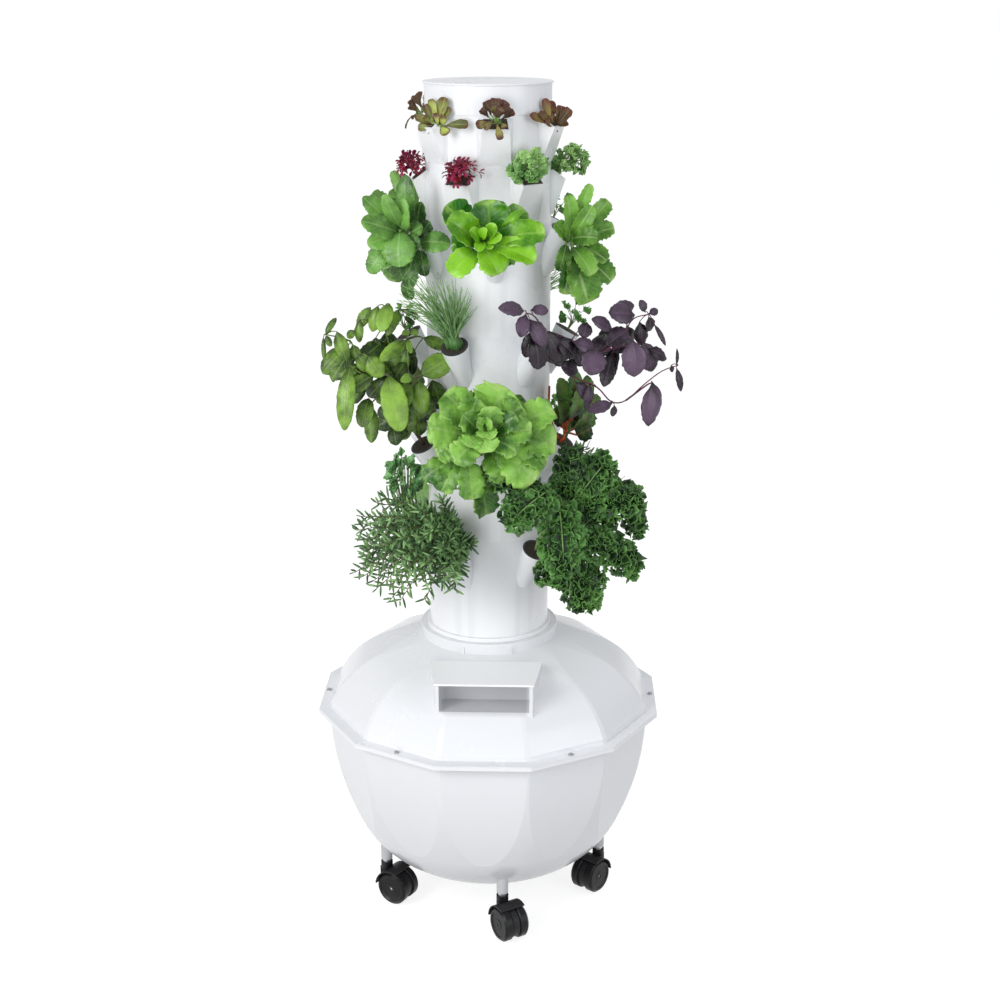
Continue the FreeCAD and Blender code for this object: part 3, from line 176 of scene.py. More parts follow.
def floor_material():
    """White to the camera, with the object's shadow softly on it."""
    material = new_material("studio_floor")
    nodes = Nodes(material.node_tree)
    shade = nodes.add("ShaderNodeBsdfDiffuse")
    nodes.put(shade.inputs[0], (FLOOR_GREY, FLOOR_GREY, FLOOR_GREY))
    glow = nodes.add("ShaderNodeEmission")
    nodes.put(glow.inputs[0], (1.0, 1.0, 1.0))
    path = nodes.add("ShaderNodeLightPath")
    seen = nodes.math("MAXIMUM", path.outputs["Is Camera Ray"], path.outputs["Is Glossy Ray"])
    seen = nodes.math("MAXIMUM", seen, path.outputs["Is Transmission Ray"])
    nodes.put(glow.inputs[1], nodes.math("MULTIPLY", seen, FLOOR_GLOW))
    both = nodes.add("ShaderNodeAddShader")
    nodes.put(both.inputs[0], shade.outputs[0])
    nodes.put(both.inputs[1], glow.outputs[0])
    output = nodes.add("ShaderNodeOutputMaterial")
    nodes.put(output.inputs["Surface"], both.outputs[0])
    return material


def make_floor():
    half = FLOOR_HALF
    mesh = bpy.data.meshes.new("studio_floor")
    mesh.from_pydata([(-half, -half, 0), (half, -half, 0), (half, half, 0), (-half, half, 0)], [],
                     [(0, 1, 2, 3)])
    floor = bpy.data.objects.new("studio_floor", mesh)
    floor.location.z = -FLOOR_DROP
    mesh.materials.append(floor_material())
    scene.collection.objects.link(floor)


def make_world():
    """White to the camera, and soft light to everything else."""
    world = bpy.data.worlds.new("studio")
    scene.world = world
    world.use_nodes = True
    world.node_tree.nodes.clear()
    nodes = Nodes(world.node_tree)
    path = nodes.add("ShaderNodeLightPath")
    seen = nodes.math("MAXIMUM", path.outputs["Is Camera Ray"], path.outputs["Is Transmission Ray"])
    ambient = nodes.add("ShaderNodeBackground")
    nodes.put(ambient.inputs[0], AMBIENT_TINT)
    nodes.put(ambient.inputs[1], AMBIENT)
    white = nodes.add("ShaderNodeBackground")
    nodes.put(white.inputs[0], (1.0, 1.0, 1.0))
    choice = nodes.add("ShaderNodeMixShader")
    for socket, value in zip(choice.inputs, (seen, ambient.outputs[0], white.outputs[0])):
        nodes.put(socket, value)
    output = nodes.add("ShaderNodeOutputWorld")
    nodes.put(output.inputs["Surface"], choice.outputs[0])


def make_lamp(name, place, wide, high, power, tint=(1.0, 1.0, 1.0)):
    data = bpy.data.lights.new(name, "AREA")
    data.shape = "RECTANGLE"
    data.size, data.size_y = wide, high
    data.energy = power
    data.color = tint
    lamp = bpy.data.objects.new(name, data)
    lamp.location = place
    way = Vector(LAMP_TARGET) - Vector(place)
    lamp.rotation_euler = way.to_track_quat("-Z", "Y").to_euler()
    scene.collection.objects.link(lamp)


def make_lamps():
    make_lamp("key", (-2.6, -2.9, 2.6), 1.5, 2.2, 84.0)
    make_lamp("front", (-0.9, -3.7, 0.9), 2.2, 1.6, 30.0)
    make_lamp("fill", (2.9, -2.2, 1.8), 1.4, 2.4, 30.0, (0.95, 0.97, 1.0))
    make_lamp("top", (0.2, 2.0, 3.9), 2.4, 1.8, 26.0)


# Materials of the planter
def inside(nodes, low, high, fade=0.012):
    """One inside a box of the frame and nought outside it, with soft faces."""
    place = nodes.split(nodes.add("ShaderNodeNewGeometry").outputs["Position"])
    share = 1.0
    for spot, least, most in zip(place, low, high):
        share = nodes.math("MULTIPLY", nodes.ramp(spot, least, least + fade), share)
        share = nodes.math("MULTIPLY", nodes.ramp(spot, most, most - fade), share)
    return share


def plastic(name, colour, rough, speck, peel, grime=0.0, painted_shade_box=None, ior=1.46):
    """Moulded plastic: a faint orange peel, uneven gloss, and edges that are a little rubbed.
    Faces inside the given box of the frame are greyed as painted shade."""
    material = new_material(name)
    nodes = Nodes(material.node_tree)
    clouds = nodes.noise(3.0, 4.0)
    grain = nodes.noise(900.0, 2.0)
    dark = [c * (1.0 - speck) for c in colour]
    tone = nodes.mix(nodes.ramp(clouds, 0.35, 0.65), dark, colour)
    edge = nodes.add("ShaderNodeNewGeometry").outputs["Pointiness"]
    rubbed = nodes.ramp(edge, 0.53, 0.62, 0.0, 0.35)
    pale = [min(1.0, c * 1.15 + 0.03) for c in colour]
    tone = nodes.mix(rubbed, tone, pale)
    if grime:
        height = nodes.split(nodes.object_place())[2]
        dust = nodes.math("MULTIPLY", nodes.ramp(height, GRIME_HEIGHT, 0.0), grime)
        tone = nodes.mix(dust, tone, DUST_COLOUR)
    # Painted shade: faces inside the box take a grey colour, standing in for the shade in a recess
    if painted_shade_box:
        tone = nodes.mix(inside(nodes, *painted_shade_box), tone, PAINTED_BAY_SHADE)
    gloss = nodes.ramp(nodes.noise(7.0, 5.0, 0.6), 0.3, 0.7, rough * 0.85, rough * 1.2)
    peeled = nodes.math("ADD", nodes.noise(160.0, 2.0), nodes.math("MULTIPLY", grain, 0.3))
    nodes.principled(Base_Color=tone, Roughness=gloss, IOR=ior, Normal=nodes.bump(peeled, peel, 0.0004))
    return material


def steel_material():
    """Zinc-plated steel with fine drawn lines."""
    material = new_material("plated_steel")
    nodes = Nodes(material.node_tree)
    place = nodes.add("ShaderNodeMapping")
    nodes.put(place.inputs["Scale"], (1.0, 1.0, 30.0))
    nodes.put(place.inputs["Vector"], nodes.object_place())
    lines = nodes.noise(180.0, 3.0, 0.6, place.outputs[0])
    tone = nodes.mix(nodes.ramp(lines, 0.3, 0.7), (0.40, 0.40, 0.42), (0.66, 0.66, 0.68))
    nodes.principled(Base_Color=tone, Metallic=1.0, Roughness=nodes.ramp(lines, 0.2, 0.8, 0.22, 0.42),
                     Normal=nodes.bump(lines, 0.15, 0.0002))
    return material


def foam_material(name, dark, light, scale, sides=None):
    """Open-grained growing foam or medium, with another colour on its sides if it has a liner."""
    material = new_material(name)
    nodes = Nodes(material.node_tree)
    cells = nodes.add("ShaderNodeTexVoronoi")
    nodes.put(cells.inputs["Scale"], scale)
    nodes.put(cells.inputs["Vector"], nodes.object_place())
    grain = nodes.noise(scale * 0.6, 5.0, 0.7)
    height = nodes.math("ADD", cells.outputs["Distance"], grain)
    tone = nodes.mix(nodes.ramp(height, 0.4, 1.2), dark, light)
    if sides:
        facing = nodes.split(nodes.add("ShaderNodeNewGeometry").outputs["True Normal"])[2]
        tone = nodes.mix(nodes.ramp(facing, 0.3, 0.6), sides, tone)
    nodes.principled(Base_Color=tone, Roughness=0.95, Normal=nodes.bump(height, 0.8, 0.002))
    return material


def rubber_material():
    material = new_material("rubber")
    nodes = Nodes(material.node_tree)
    grain = nodes.noise(500.0, 3.0)
    tone = nodes.mix(nodes.noise(30.0, 3.0), (0.028, 0.028, 0.03), (0.05, 0.05, 0.052))
    nodes.principled(Base_Color=tone, Roughness=0.75, Normal=nodes.bump(grain, 0.3, 0.0004))
    return material


def dress_frame():
    """Gives every CAD node that stays its material."""
    white = plastic("white_plastic", (0.82, 0.835, 0.86), 0.20, 0.012, 0.05)
    column = plastic("column_plastic", COLUMN_WHITE, 0.30, 0.012, 0.06)
    grey = plastic("grey_plastic", (0.50, 0.51, 0.53), 0.38, 0.05, 0.10)
    black = plastic("black_plastic", (0.008, 0.008, 0.009), 0.42, 0.15, 0.20, 0.06, ior=1.3)
    wheel = plastic("wheel_plastic", (0.007, 0.007, 0.008), 0.33, 0.15, 0.12, 0.09, ior=1.3)
    pot = plastic("pot_plastic", (0.030, 0.030, 0.036), 0.45, 0.10, 0.12)
    steel = steel_material()
    foam = foam_material("plug_foam", (0.012, 0.010, 0.008), (0.045, 0.034, 0.024), 320.0)
    soil = foam_material("growing_medium", (0.014, 0.010, 0.007), (0.060, 0.044, 0.030), 260.0,
                         COLUMN_WHITE)
    rubber = rubber_material()
    # The lid's hand bay gets its grey painted shade here
    lid = plastic("lid_plastic", (0.79, 0.805, 0.83), 0.24, 0.012, 0.05, painted_shade_box=HAND_BAY)
    cover = plastic("cover_plastic", (0.93, 0.94, 0.955), 0.22, 0.012, 0.05)
    slots = {"white_plastic": white, "grey_plastic": grey, "black_plastic": black, "pot_plastic": pot,
             "wheel_plastic": wheel, "steel": steel, "growing_foam": foam, "rubber": rubber}
    special = {"pocket_soil": soil, "top_cap": column, "base_ring": column, "reservoir_lid": lid,
               "access_cover": cover}
    for row in frame["record"]["subparts"]:
        name = row["node"]
        if name.startswith("plants_row"):
            continue
        material = special.get(name, slots[row["material_slot"]])
        if "section" in name:
            material = column
        node = frame["nodes"][name]
        for holder in node.material_slots:
            holder.link = "OBJECT"
            holder.material = material
    make_pocket_corners(column)


# Rings of a fillet, each with its height over the section's foot in metres, and its corners as
# millimetres out from the tower's axis and sideways from the pocket's middle
FILLET_END = ((124.0, 30.5), (123.7, 35.5), (126.5, 33.4), (128.4, 32.8), (128.4, 30.5))
FILLET_BODY = ((124.0, 30.5), (123.7, 35.5), (127.6, 33.2), (131.5, 32.2), (131.5, 30.5))
FILLET_RINGS = ((0.013, FILLET_END), (0.021, FILLET_BODY), (0.100, FILLET_BODY), (0.1025, FILLET_END))


def fillet(points, faces, site, foot, flip):
    """One fillet on a side of a pocket, added to the points and faces."""
    count = len(FILLET_BODY)
    first = len(points)
    for level, corners in FILLET_RINGS:
        for out, side in corners:
            points.append(site.out * out / 1000 + site.side * flip * side / 1000 + UP * (foot + level))
    for ring in range(len(FILLET_RINGS) - 1):
        start = first + count * ring
        for k in range(count):
            after = (k + 1) % count
            faces.append((start + k, start + after, start + count + after, start + count + k)[::flip])
    last = len(points) - count
    faces.append(tuple(range(first, first + count))[::-flip])
    faces.append(tuple(range(last, last + count))[::flip])


def make_pocket_corners(material):
    """The fillets that close the corners between the wedge pockets and the round tube."""
    points, faces = [], []
    for row in (1, 2):
        foot = TOWER_FOOT + TALL_SECTIONS * TALL + SHORT * (2 - row)
        for port in range(PORTS):
            site = Site(row, port, (0, 0, 0), (1, 1, 1))
            for flip in (-1, 1):
                fillet(points, faces, site, foot, flip)
    mesh = bpy.data.meshes.new("pocket_corners")
    mesh.from_pydata([tuple(point) for point in points], [], faces)
    mesh.materials.append(material)
    strips = bpy.data.objects.new("pocket_corners", mesh)
    scene.collection.objects.link(strips)
    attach(strips, "root")


# Leaves and stems
def unit(vector):
    return vector / (np.linalg.norm(vector) + 1e-12)


class Blade:
    """The form of one kind of leaf."""

    def __init__(self, low=0.7, high=0.6, stalk=0.0, stalk_width=0.03, fold=0.25, cup=0.0, curl=0.0,
                 ruffle=0.0, waves=6, blister=0.0, rows=12, cols=8, thick=0.0006):
        self.low, self.high = low, high
        self.stalk, self.stalk_width = stalk, stalk_width
        self.fold, self.cup, self.curl = fold, cup, curl
        self.ruffle, self.waves, self.blister = ruffle, waves, blister
        self.rows, self.cols, self.thick = rows, cols, thick

    def width(self, along):
        """Half the width at each place along the leaf, at most 1."""
        x = np.clip((along - self.stalk) / (1 - self.stalk), 0.0, 1.0)
        peak = self.low / (self.low + self.high)
        top = peak ** self.low * (1 - peak) ** self.high
        shape = x ** self.low * (1 - x) ** self.high / top
        return np.maximum(shape, self.stalk_width * (1 - 0.7 * along))

    def relief(self, rng, along, across, half):
        """How far each point lies sideways from the spine, above it and ahead of it. Half is half
        the leaf's width there."""
        phase = [rng.uniform(0, 6.28) for _ in range(4)]
        off = np.abs(across)
        fold = self.fold * (0.7 + 0.6 * rng.random())
        flat = half * across * math.cos(fold)
        high = half * off * math.sin(fold)
        high = high + self.cup * rng.uniform(0.4, 1.7) * half * across * across - self.curl * half * off ** 4
        shift = np.zeros_like(across)
        if self.ruffle:
            edge = off ** 1.6
            wave = 2 * np.pi * self.waves * along
            flank = np.where(across > 0, phase[0], phase[1])
            ripple = np.sin(wave + flank) + 0.45 * np.sin(2.3 * wave + phase[2])
            size = self.ruffle * half.max() * np.clip(half / (half.max() + 1e-9) * 1.4, 0, 1)
            high = high + size * edge * ripple
            shift = shift + size * 0.7 * edge * np.cos(wave * 1.2 + phase[3])
            flat = flat * (1 - min(0.10, self.ruffle) * edge * (1 + np.cos(wave * 2 + phase[1])))
        if self.blister:
            bumps = np.sin(along * 34 + phase[2]) * np.sin(across * 9 + phase[3])
            high = high + self.blister * half.max() * bumps * (1 - off ** 3) * np.minimum(1, along * 4)
        return flat, high, shift


def leaf_spine(base, ahead, normal, reach, share, arch, twist):
    """The points of a bowed spine at each share of its length, and its ways along, aside and up."""
    bend = arch * (1 - 2 * share)
    steps = np.c_[np.cos(bend), np.sin(bend)]
    middle = (steps[1:] + steps[:-1]) / 2 * np.diff(share)[:, None]
    line = np.vstack([[0, 0], np.cumsum(middle, 0)])
    line = line * (reach / max(np.linalg.norm(line[-1]), 1e-6))
    spine = base + line[:, :1] * ahead + line[:, 1:] * normal
    along = steps[:, :1] * ahead + steps[:, 1:] * normal
    lift = -steps[:, 1:] * ahead + steps[:, :1] * normal
    sides = np.repeat(np.cross(ahead, normal)[None], len(share), 0)
    turn = (twist * share)[:, None]
    sides, lift = (sides * np.cos(turn) + lift * np.sin(turn),
                   lift * np.cos(turn) - sides * np.sin(turn))
    return spine, along, sides, lift


class Greens:
    """The leaves and stems of one plant, gathered into one mesh."""

    def __init__(self, name, seed):
        self.name = name
        self.rng = random.Random(seed)
        self.points, self.data, self.quads, self.kinds = [], [], [], []
        self.count = 0

    def add(self, points, quads, data, kind):
        self.points.append(points)
        self.data.append(data)
        self.quads.append(quads + self.count)
        self.kinds.append(np.full(len(quads), kind, np.int32))
        self.count += len(points)

    def leaf(self, base, tip, normal, width, blade, arch=0.5, twist=0.0, tone=None):
        """A leaf from base to tip whose upper side faces the normal. It bows up by arch (radians)."""
        reach = np.linalg.norm(tip - base)
        if reach < SHORTEST_LEAF:
            return
        ahead = (tip - base) / reach
        normal = unit(normal - ahead * (normal @ ahead))
        u = 1 - (1 - np.linspace(0.0, 1.0, blade.rows + 1)) ** TIP_CROWDING
        v = np.linspace(-1.0, 1.0, blade.cols + 1)
        spine, along, sides, lift = leaf_spine(base, ahead, normal, reach, u, arch, twist)
        uu, vv = np.meshgrid(u, v, indexing="ij")
        half = (blade.width(u) * width / 2)[:, None] * np.ones_like(vv)
        flat, high, shift = blade.relief(self.rng, uu, vv, half)
        grid = (spine[:, None] + sides[:, None] * flat[..., None] + lift[:, None] * high[..., None]
                + along[:, None] * shift[..., None])
        self.sheet(grid, normal, uu, vv, self.rng.random() if tone is None else tone, blade.thick)

    def sheet(self, grid, normal, along, across, tone, thick):
        """A thin closed sheet over a grid of points, its upper side toward the normal."""
        facing = np.cross(np.gradient(grid, axis=0), np.gradient(grid, axis=1))
        facing = facing / (np.linalg.norm(facing, axis=2, keepdims=True) + 1e-12)
        if facing.mean((0, 1)) @ normal < 0:
            facing = -facing
        half = thick / 2 * (1.6 - np.abs(across))[..., None]
        both = np.vstack([(grid + facing * half).reshape(-1, 3), (grid - facing * half).reshape(-1, 3)])
        facts = np.stack([along, across, np.full_like(along, tone)], 2).reshape(-1, 3)
        self.add(both, leaf_quads(*grid.shape[:2]), np.vstack([facts, facts + [0.0, 0.0, 2.0]]), 0)

    def fan(self, base, tip, normal, spread, folds, gather, tone, rows=7, cols=20, thick=0.0008):
        """A fan from base to tip whose outer margin is gathered into folds."""
        rng = self.rng
        chord = tip - base
        reach = np.linalg.norm(chord)
        ahead = chord / reach
        normal = unit(normal - ahead * (normal @ ahead))
        side = np.cross(ahead, normal)
        u = np.linspace(0.05, 1.0, rows + 1)
        v = np.linspace(-1.0, 1.0, cols + 1)
        uu, vv = np.meshgrid(u, v, indexing="ij")
        first, second, third = (rng.uniform(0, 6.28) for _ in range(3))
        turn = folds * np.pi * vv
        wave = np.sin(turn + first) + 0.5 * np.sin(2.3 * turn + second)
        swing = vv * spread + 0.22 * uu * np.cos(turn + first)
        radius = reach * uu * (1 - 0.3 * vv ** 2) * (1 + 0.10 * np.sin(2 * turn + third))
        lift = gather * reach * uu ** 2 * wave
        grid = (base + (radius * np.cos(swing))[..., None] * ahead
                + (radius * np.sin(swing))[..., None] * side + lift[..., None] * normal)
        # Along runs from the fan's base to its margin, so the leaf material paints shade at the base and,
        # with an edge colour, a highlight at the margin
        self.sheet(grid, normal, uu, 0.25 + 0.7 * np.abs(vv), tone, thick)

    def stem(self, spots, radius, end=None, sides=6, tone=0.0, kind=1):
        """A closed tube along a curve through the spots."""
        spots = smooth_line(np.asarray(spots, float))
        count = len(spots)
        ways = np.gradient(spots, axis=0)
        ways = ways / (np.linalg.norm(ways, axis=1, keepdims=True) + 1e-12)
        first = unit(np.cross(ways[0], [0.31, 0.52, 0.8]))
        end = radius * 0.5 if end is None else end
        rings = []
        for index in range(count):
            first = unit(first - ways[index] * (first @ ways[index]))
            second = np.cross(ways[index], first)
            size = radius + (end - radius) * index / (count - 1)
            turns = np.linspace(0, 2 * np.pi, sides, endpoint=False)
            rings.append(spots[index] + size * (np.cos(turns)[:, None] * first
                                                + np.sin(turns)[:, None] * second))
        points = np.vstack(rings)
        facts = np.zeros((len(points), 3))
        facts[:, 0] = np.repeat(np.linspace(0, 1, count), sides)
        facts[:, 2] = tone
        self.add(points, tube_quads(count, sides), facts, kind)

    def build(self, materials):
        mesh = bpy.data.meshes.new(self.name)
        points = np.vstack(self.points).astype(np.float32)
        quads = np.vstack(self.quads).astype(np.int32)
        mesh.vertices.add(len(points))
        mesh.vertices.foreach_set("co", points.ravel())
        mesh.loops.add(quads.size)
        mesh.loops.foreach_set("vertex_index", quads.ravel())
        mesh.polygons.add(len(quads))
        mesh.polygons.foreach_set("loop_start", np.arange(0, quads.size, 4, dtype=np.int32))
        mesh.polygons.foreach_set("material_index", np.concatenate(self.kinds))
        mesh.polygons.foreach_set("use_smooth", np.ones(len(quads), bool))
        mesh.update(calc_edges=True)
        facts = mesh.attributes.new("leaf", "FLOAT_VECTOR", "POINT")
        facts.data.foreach_set("vector", np.vstack(self.data).astype(np.float32).ravel())
        for material in materials:
            mesh.materials.append(material)
        plant = bpy.data.objects.new(self.name, mesh)
        scene.collection.objects.link(plant)
        return plant


QUAD_STORE = {}


def leaf_quads(rows, cols):
    """Faces of a closed thin sheet: its top, its underside and the rim between them."""
    key = (rows, cols)
    if key not in QUAD_STORE:
        grid = np.arange(rows * cols).reshape(rows, cols)
        top = np.stack([grid[:-1, :-1], grid[1:, :-1], grid[1:, 1:], grid[:-1, 1:]], 2).reshape(-1, 4)
        low = top[:, ::-1] + rows * cols
        rim = np.concatenate([grid[0, :-1], grid[:-1, -1], grid[-1, :0:-1], grid[:0:-1, 0]])
        after = np.roll(rim, -1)
        wall = np.stack([rim, after, after + rows * cols, rim + rows * cols], 1)
        QUAD_STORE[key] = np.vstack([top, low, wall])
    return QUAD_STORE[key]


def tube_quads(count, sides):
    grid = np.arange(count * sides).reshape(count, sides)
    turned = np.roll(grid, -1, 1)
    skin = np.stack([grid[:-1], turned[:-1], turned[1:], grid[1:]], 2).reshape(-1, 4)
    caps = []
    for ring, order in ((grid[0], -1), (grid[-1], 1)):
        ring = ring[::order]
        for index in range(1, sides - 2, 2):
            caps.append([ring[0], ring[index], ring[index + 1], ring[index + 2]])
    return np.vstack([skin, caps])


def smooth_line(spots, steps=4):
    """A smooth curve through the spots."""
    if len(spots) < 3:
        return np.vstack([spots[0] + (spots[-1] - spots[0]) * t for t in np.linspace(0, 1, 4)])
    padded = np.vstack([2 * spots[0] - spots[1], spots, 2 * spots[-1] - spots[-2]])
    out = []
    for index in range(len(spots) - 1):
        a, b, c, d = padded[index:index + 4]
        for t in np.linspace(0, 1, steps, endpoint=False):
            out.append(0.5 * (2 * b + (c - a) * t + (2 * a - 5 * b + 4 * c - d) * t ** 2
                              + (3 * b - a - 3 * c + d) * t ** 3))
    out.append(spots[-1])
    return np.array(out)


def curve_point(spots, share):
    line = smooth_line(np.asarray(spots, float), 8)
    place = share * (len(line) - 1)
    index = min(int(place), len(line) - 2)
    point = line[index] + (line[index + 1] - line[index]) * (place - index)
    return point, unit(line[index + 1] - line[index])


# Leaf materials
def leaf_material(name, deep, light, rib, under, edge=None, edge_from=0.6, gloss=0.42, veins=0.35,
                  vein_count=9.0, mottle=0.5, crinkle=0.5, rib_width=0.05, ribs=1.0):
    """A leaf's face, from deep to light by its tone, with veins, a rib and a paler underside, darker toward
    its base as painted shade, and with an edge colour that on some kinds is a painted highlight. The facts of
    the leaf are its place along, its place across, and its tone, with 2 added below."""
    material = new_material(name)
    nodes = Nodes(material.node_tree)
    along, across, tone = nodes.leaf_facts()
    below = nodes.math("GREATER_THAN", tone, 1.5)
    tone = nodes.math("SUBTRACT", tone, nodes.math("MULTIPLY", below, 2.0))
    off = nodes.math("ABSOLUTE", across)
    cloud = nodes.noise(26.0, 4.0, 0.6)
    share = nodes.math("ADD", nodes.math("MULTIPLY", tone, 1.0 - mottle),
                       nodes.math("MULTIPLY", nodes.ramp(cloud, 0.3, 0.7), mottle))
    # Painted shade: each leaf darkens toward its base, where leaves crowd at the heart of the plant and in
    # the hollows between curls
    share = nodes.math("MULTIPLY", share, nodes.ramp(along, 0.0, 0.45, 0.45, 1.0))
    bright = [channel * 1.15 for channel in light]
    colour = nodes.mix(nodes.ramp(share, 0.10, 0.92), deep, bright)
    # The edge colour on butterhead, cabbage and kale is lighter: a painted highlight on lit margins and tips
    if edge is not None:
        reach = nodes.math("MAXIMUM", off, nodes.math("MULTIPLY", along, 1.02))
        reach = nodes.math("ADD", reach, nodes.math("MULTIPLY", nodes.math("SUBTRACT", cloud, 0.5), 0.9))
        colour = nodes.mix(nodes.ramp(reach, edge_from, edge_from + 0.35), colour, edge)
    slant = nodes.math("SUBTRACT", along, nodes.math("MULTIPLY", off, 0.35))
    comb = nodes.math("ABSOLUTE", nodes.math("SINE", nodes.math("MULTIPLY", slant, vein_count * math.pi)))
    vein = nodes.ramp(comb, 0.22, 0.0)
    vein = nodes.math("MULTIPLY", vein, nodes.ramp(off, 1.0, 0.5))
    midrib = nodes.ramp(off, rib_width * 2.2, rib_width * 0.6, 0.0, ribs)
    lines = nodes.math("MAXIMUM", nodes.math("MULTIPLY", vein, veins), midrib)
    colour = nodes.mix(lines, colour, rib)
    colour = nodes.mix(nodes.math("MULTIPLY", below, 0.55), colour, under)
    fine = nodes.noise(220.0, 3.0, 0.6)
    height = nodes.math("SUBTRACT", nodes.math("MULTIPLY", fine, crinkle),
                        nodes.math("MULTIPLY", lines, 0.8))
    rough = nodes.ramp(fine, 0.3, 0.7, gloss * 0.85, gloss * 1.2)
    nodes.principled(Base_Color=colour, Roughness=rough, IOR=1.42, Normal=nodes.bump(height, 0.45, 0.0012))
    return material


def stem_material(name, low, high):
    material = new_material(name)
    nodes = Nodes(material.node_tree)
    along = nodes.leaf_facts()[0]
    streaks = nodes.noise(90.0, 3.0)
    colour = nodes.mix(nodes.ramp(along, 0.1, 0.9), low, high)
    dim = nodes.mix(0.5, colour, [c * 0.6 for c in low])
    colour = nodes.mix(nodes.ramp(streaks, 0.35, 0.65), dim, colour)
    nodes.principled(Base_Color=colour, Roughness=0.5, Normal=nodes.bump(streaks, 0.3, 0.0006))
    return material


# The ways in which the plants grow
class Site:
    """Where a plant stands, and the middle and reach of its foliage."""

    def __init__(self, row, port, offsets, reaches):
        azimuth = math.radians((ODD_TURN if row % 2 else EVEN_TURN) + 360.0 / PORTS * port)
        if row <= 2:
            foot = TOWER_FOOT + TALL_SECTIONS * TALL + SHORT * (2 - row)
            radius, height = POCKET_CIRCLE, foot + POCKET_HEIGHT
        else:
            foot = TOWER_FOOT + TALL * (6 - row)
            radius, height = PORT_CIRCLE, foot + PORT_HEIGHT
        self.out = np.array([math.sin(azimuth), -math.cos(azimuth), 0.0])
        self.side = np.array([math.cos(azimuth), math.sin(azimuth), 0.0])
        self.axis = self.out * math.sin(PORT_TILT) + UP * math.cos(PORT_TILT)
        self.foot = self.out * radius + UP * height
        self.root = self.foot - self.axis * ROOT_DEPTH
        out, side, up = (amount / 1000.0 for amount in offsets)
        self.middle = self.foot + self.out * out + self.side * side + UP * up
        self.reach = np.array(reaches) / 1000.0

    def spot(self, out, side, up):
        """A place in millimetres from the port's mouth: outward, sideways and up."""
        return self.foot + (self.out * out + self.side * side + UP * up) / 1000.0

    def at(self, toward, share=1.0):
        """A point of the foliage's ellipsoid, in the direction toward, at a share of its reach."""
        toward = unit(toward)
        local = np.array([toward @ self.out, toward @ self.side, toward @ UP])
        local = local * self.reach * share
        return self.middle + self.out * local[0] + self.side * local[1] + UP * local[2]

    def toward(self, level, turn):
        """The direction at a level between -1 and 1 and at a turn about the upright."""
        flat = math.sqrt(max(0.0, 1 - level * level))
        return self.out * math.cos(turn) * flat + self.side * math.sin(turn) * flat + UP * level


def bush(greens, site, blade, stems, pairs, length, wide, droop, start, spread, stalk,
         arch=0.45, low=-0.55):
    """Stems that fan out from the port, with pairs of leaves along them and a tuft at each end."""
    rng = greens.rng
    for index in range(stems):
        level = low + (1.0 - low) * (index + 0.5) / stems
        toward = site.toward(level, GOLDEN_TURN * index + rng.uniform(-0.3, 0.3))
        tip = site.at(toward, spread * rng.uniform(0.75, 1.0))
        knee = site.foot + site.axis * 0.03 + toward * 0.006
        way = tip - knee
        bow = knee + way * 0.5 + UP * np.linalg.norm(way) * 0.16 + site.out * 0.008
        spots = [site.root + site.side * rng.uniform(-0.008, 0.008), knee, bow, tip]
        greens.stem(spots, stalk, stalk * 0.55)
        for pair in range(pairs + 1):
            share = start + (1 - start) * pair / pairs
            point, ahead = curve_point(spots, share)
            across = unit(np.cross(ahead, UP) + 1e-6)
            cross = np.cross(across, ahead)
            spin = 1.57 * pair + rng.uniform(-0.3, 0.3)
            size = length * (1.0 - 0.35 * abs(share - 0.7)) * rng.uniform(0.8, 1.12)
            for flip in (-1, 1):
                heading = across * math.cos(spin) * flip + cross * math.sin(spin) * flip
                heading = unit(heading + ahead * 0.55 + toward * 0.25 - UP * droop * rng.uniform(0.5, 1.2))
                greens.leaf(point, point + heading * size, UP + toward * 0.7, wide * size, blade,
                            arch, rng.uniform(-0.3, 0.3))
        heading = unit(unit(tip - bow) + UP * 0.1)
        greens.leaf(tip, tip + heading * length * 0.7, UP + toward, wide * length * 0.7, blade, arch,
                    0.0, 0.95)


def grass(greens, site, count, radius):
    """Thin hollow leaves that rise and bend over."""
    rng = greens.rng
    for index in range(count):
        level = -0.15 + 1.1 * (index + 0.5) / count
        tip = site.at(site.toward(level, GOLDEN_TURN * index), rng.uniform(0.7, 1.0))
        foot = site.foot + site.side * rng.uniform(-0.012, 0.012) + site.out * rng.uniform(-0.012, 0.012)
        way = tip - foot
        bow = foot + way * 0.55 + UP * np.linalg.norm(way) * rng.uniform(0.04, 0.2)
        greens.stem([foot - site.axis * 0.004, foot + site.axis * 0.02, bow, tip], radius, radius * 0.25,
                    tone=rng.random(), kind=0)


def needles(greens, site, twigs, per_twig, length, blade, spread):
    """Woody twigs that bend out, closely set with needle leaves."""
    rng = greens.rng
    for index in range(twigs):
        level = -0.75 + 1.65 * (index + 0.5) / twigs
        toward = site.toward(level, GOLDEN_TURN * index + rng.uniform(-0.2, 0.2))
        tip = site.at(toward, spread * rng.uniform(0.72, 1.05))
        knee = site.foot + site.axis * 0.03 + toward * 0.01
        way = tip - knee
        bow = knee + way * 0.5 + UP * np.linalg.norm(way) * 0.12
        spots = [site.root, knee, bow, tip]
        greens.stem(spots, 0.0022, 0.0008, 5)
        for needle in range(per_twig):
            share = 0.22 + 0.78 * needle / (per_twig - 1)
            point, ahead = curve_point(spots, share)
            across = unit(np.cross(ahead, UP) + 1e-6)
            cross = np.cross(across, ahead)
            spin = 2.4 * needle + rng.uniform(-0.3, 0.3)
            heading = unit(across * math.cos(spin) + cross * math.sin(spin) + ahead * rng.uniform(0.5, 1.0)
                           + UP * 0.15)
            size = length * rng.uniform(0.7, 1.1)
            greens.leaf(point, point + heading * size, site.out + UP * 0.7, length * 0.17, blade,
                        rng.uniform(-0.2, 0.35))


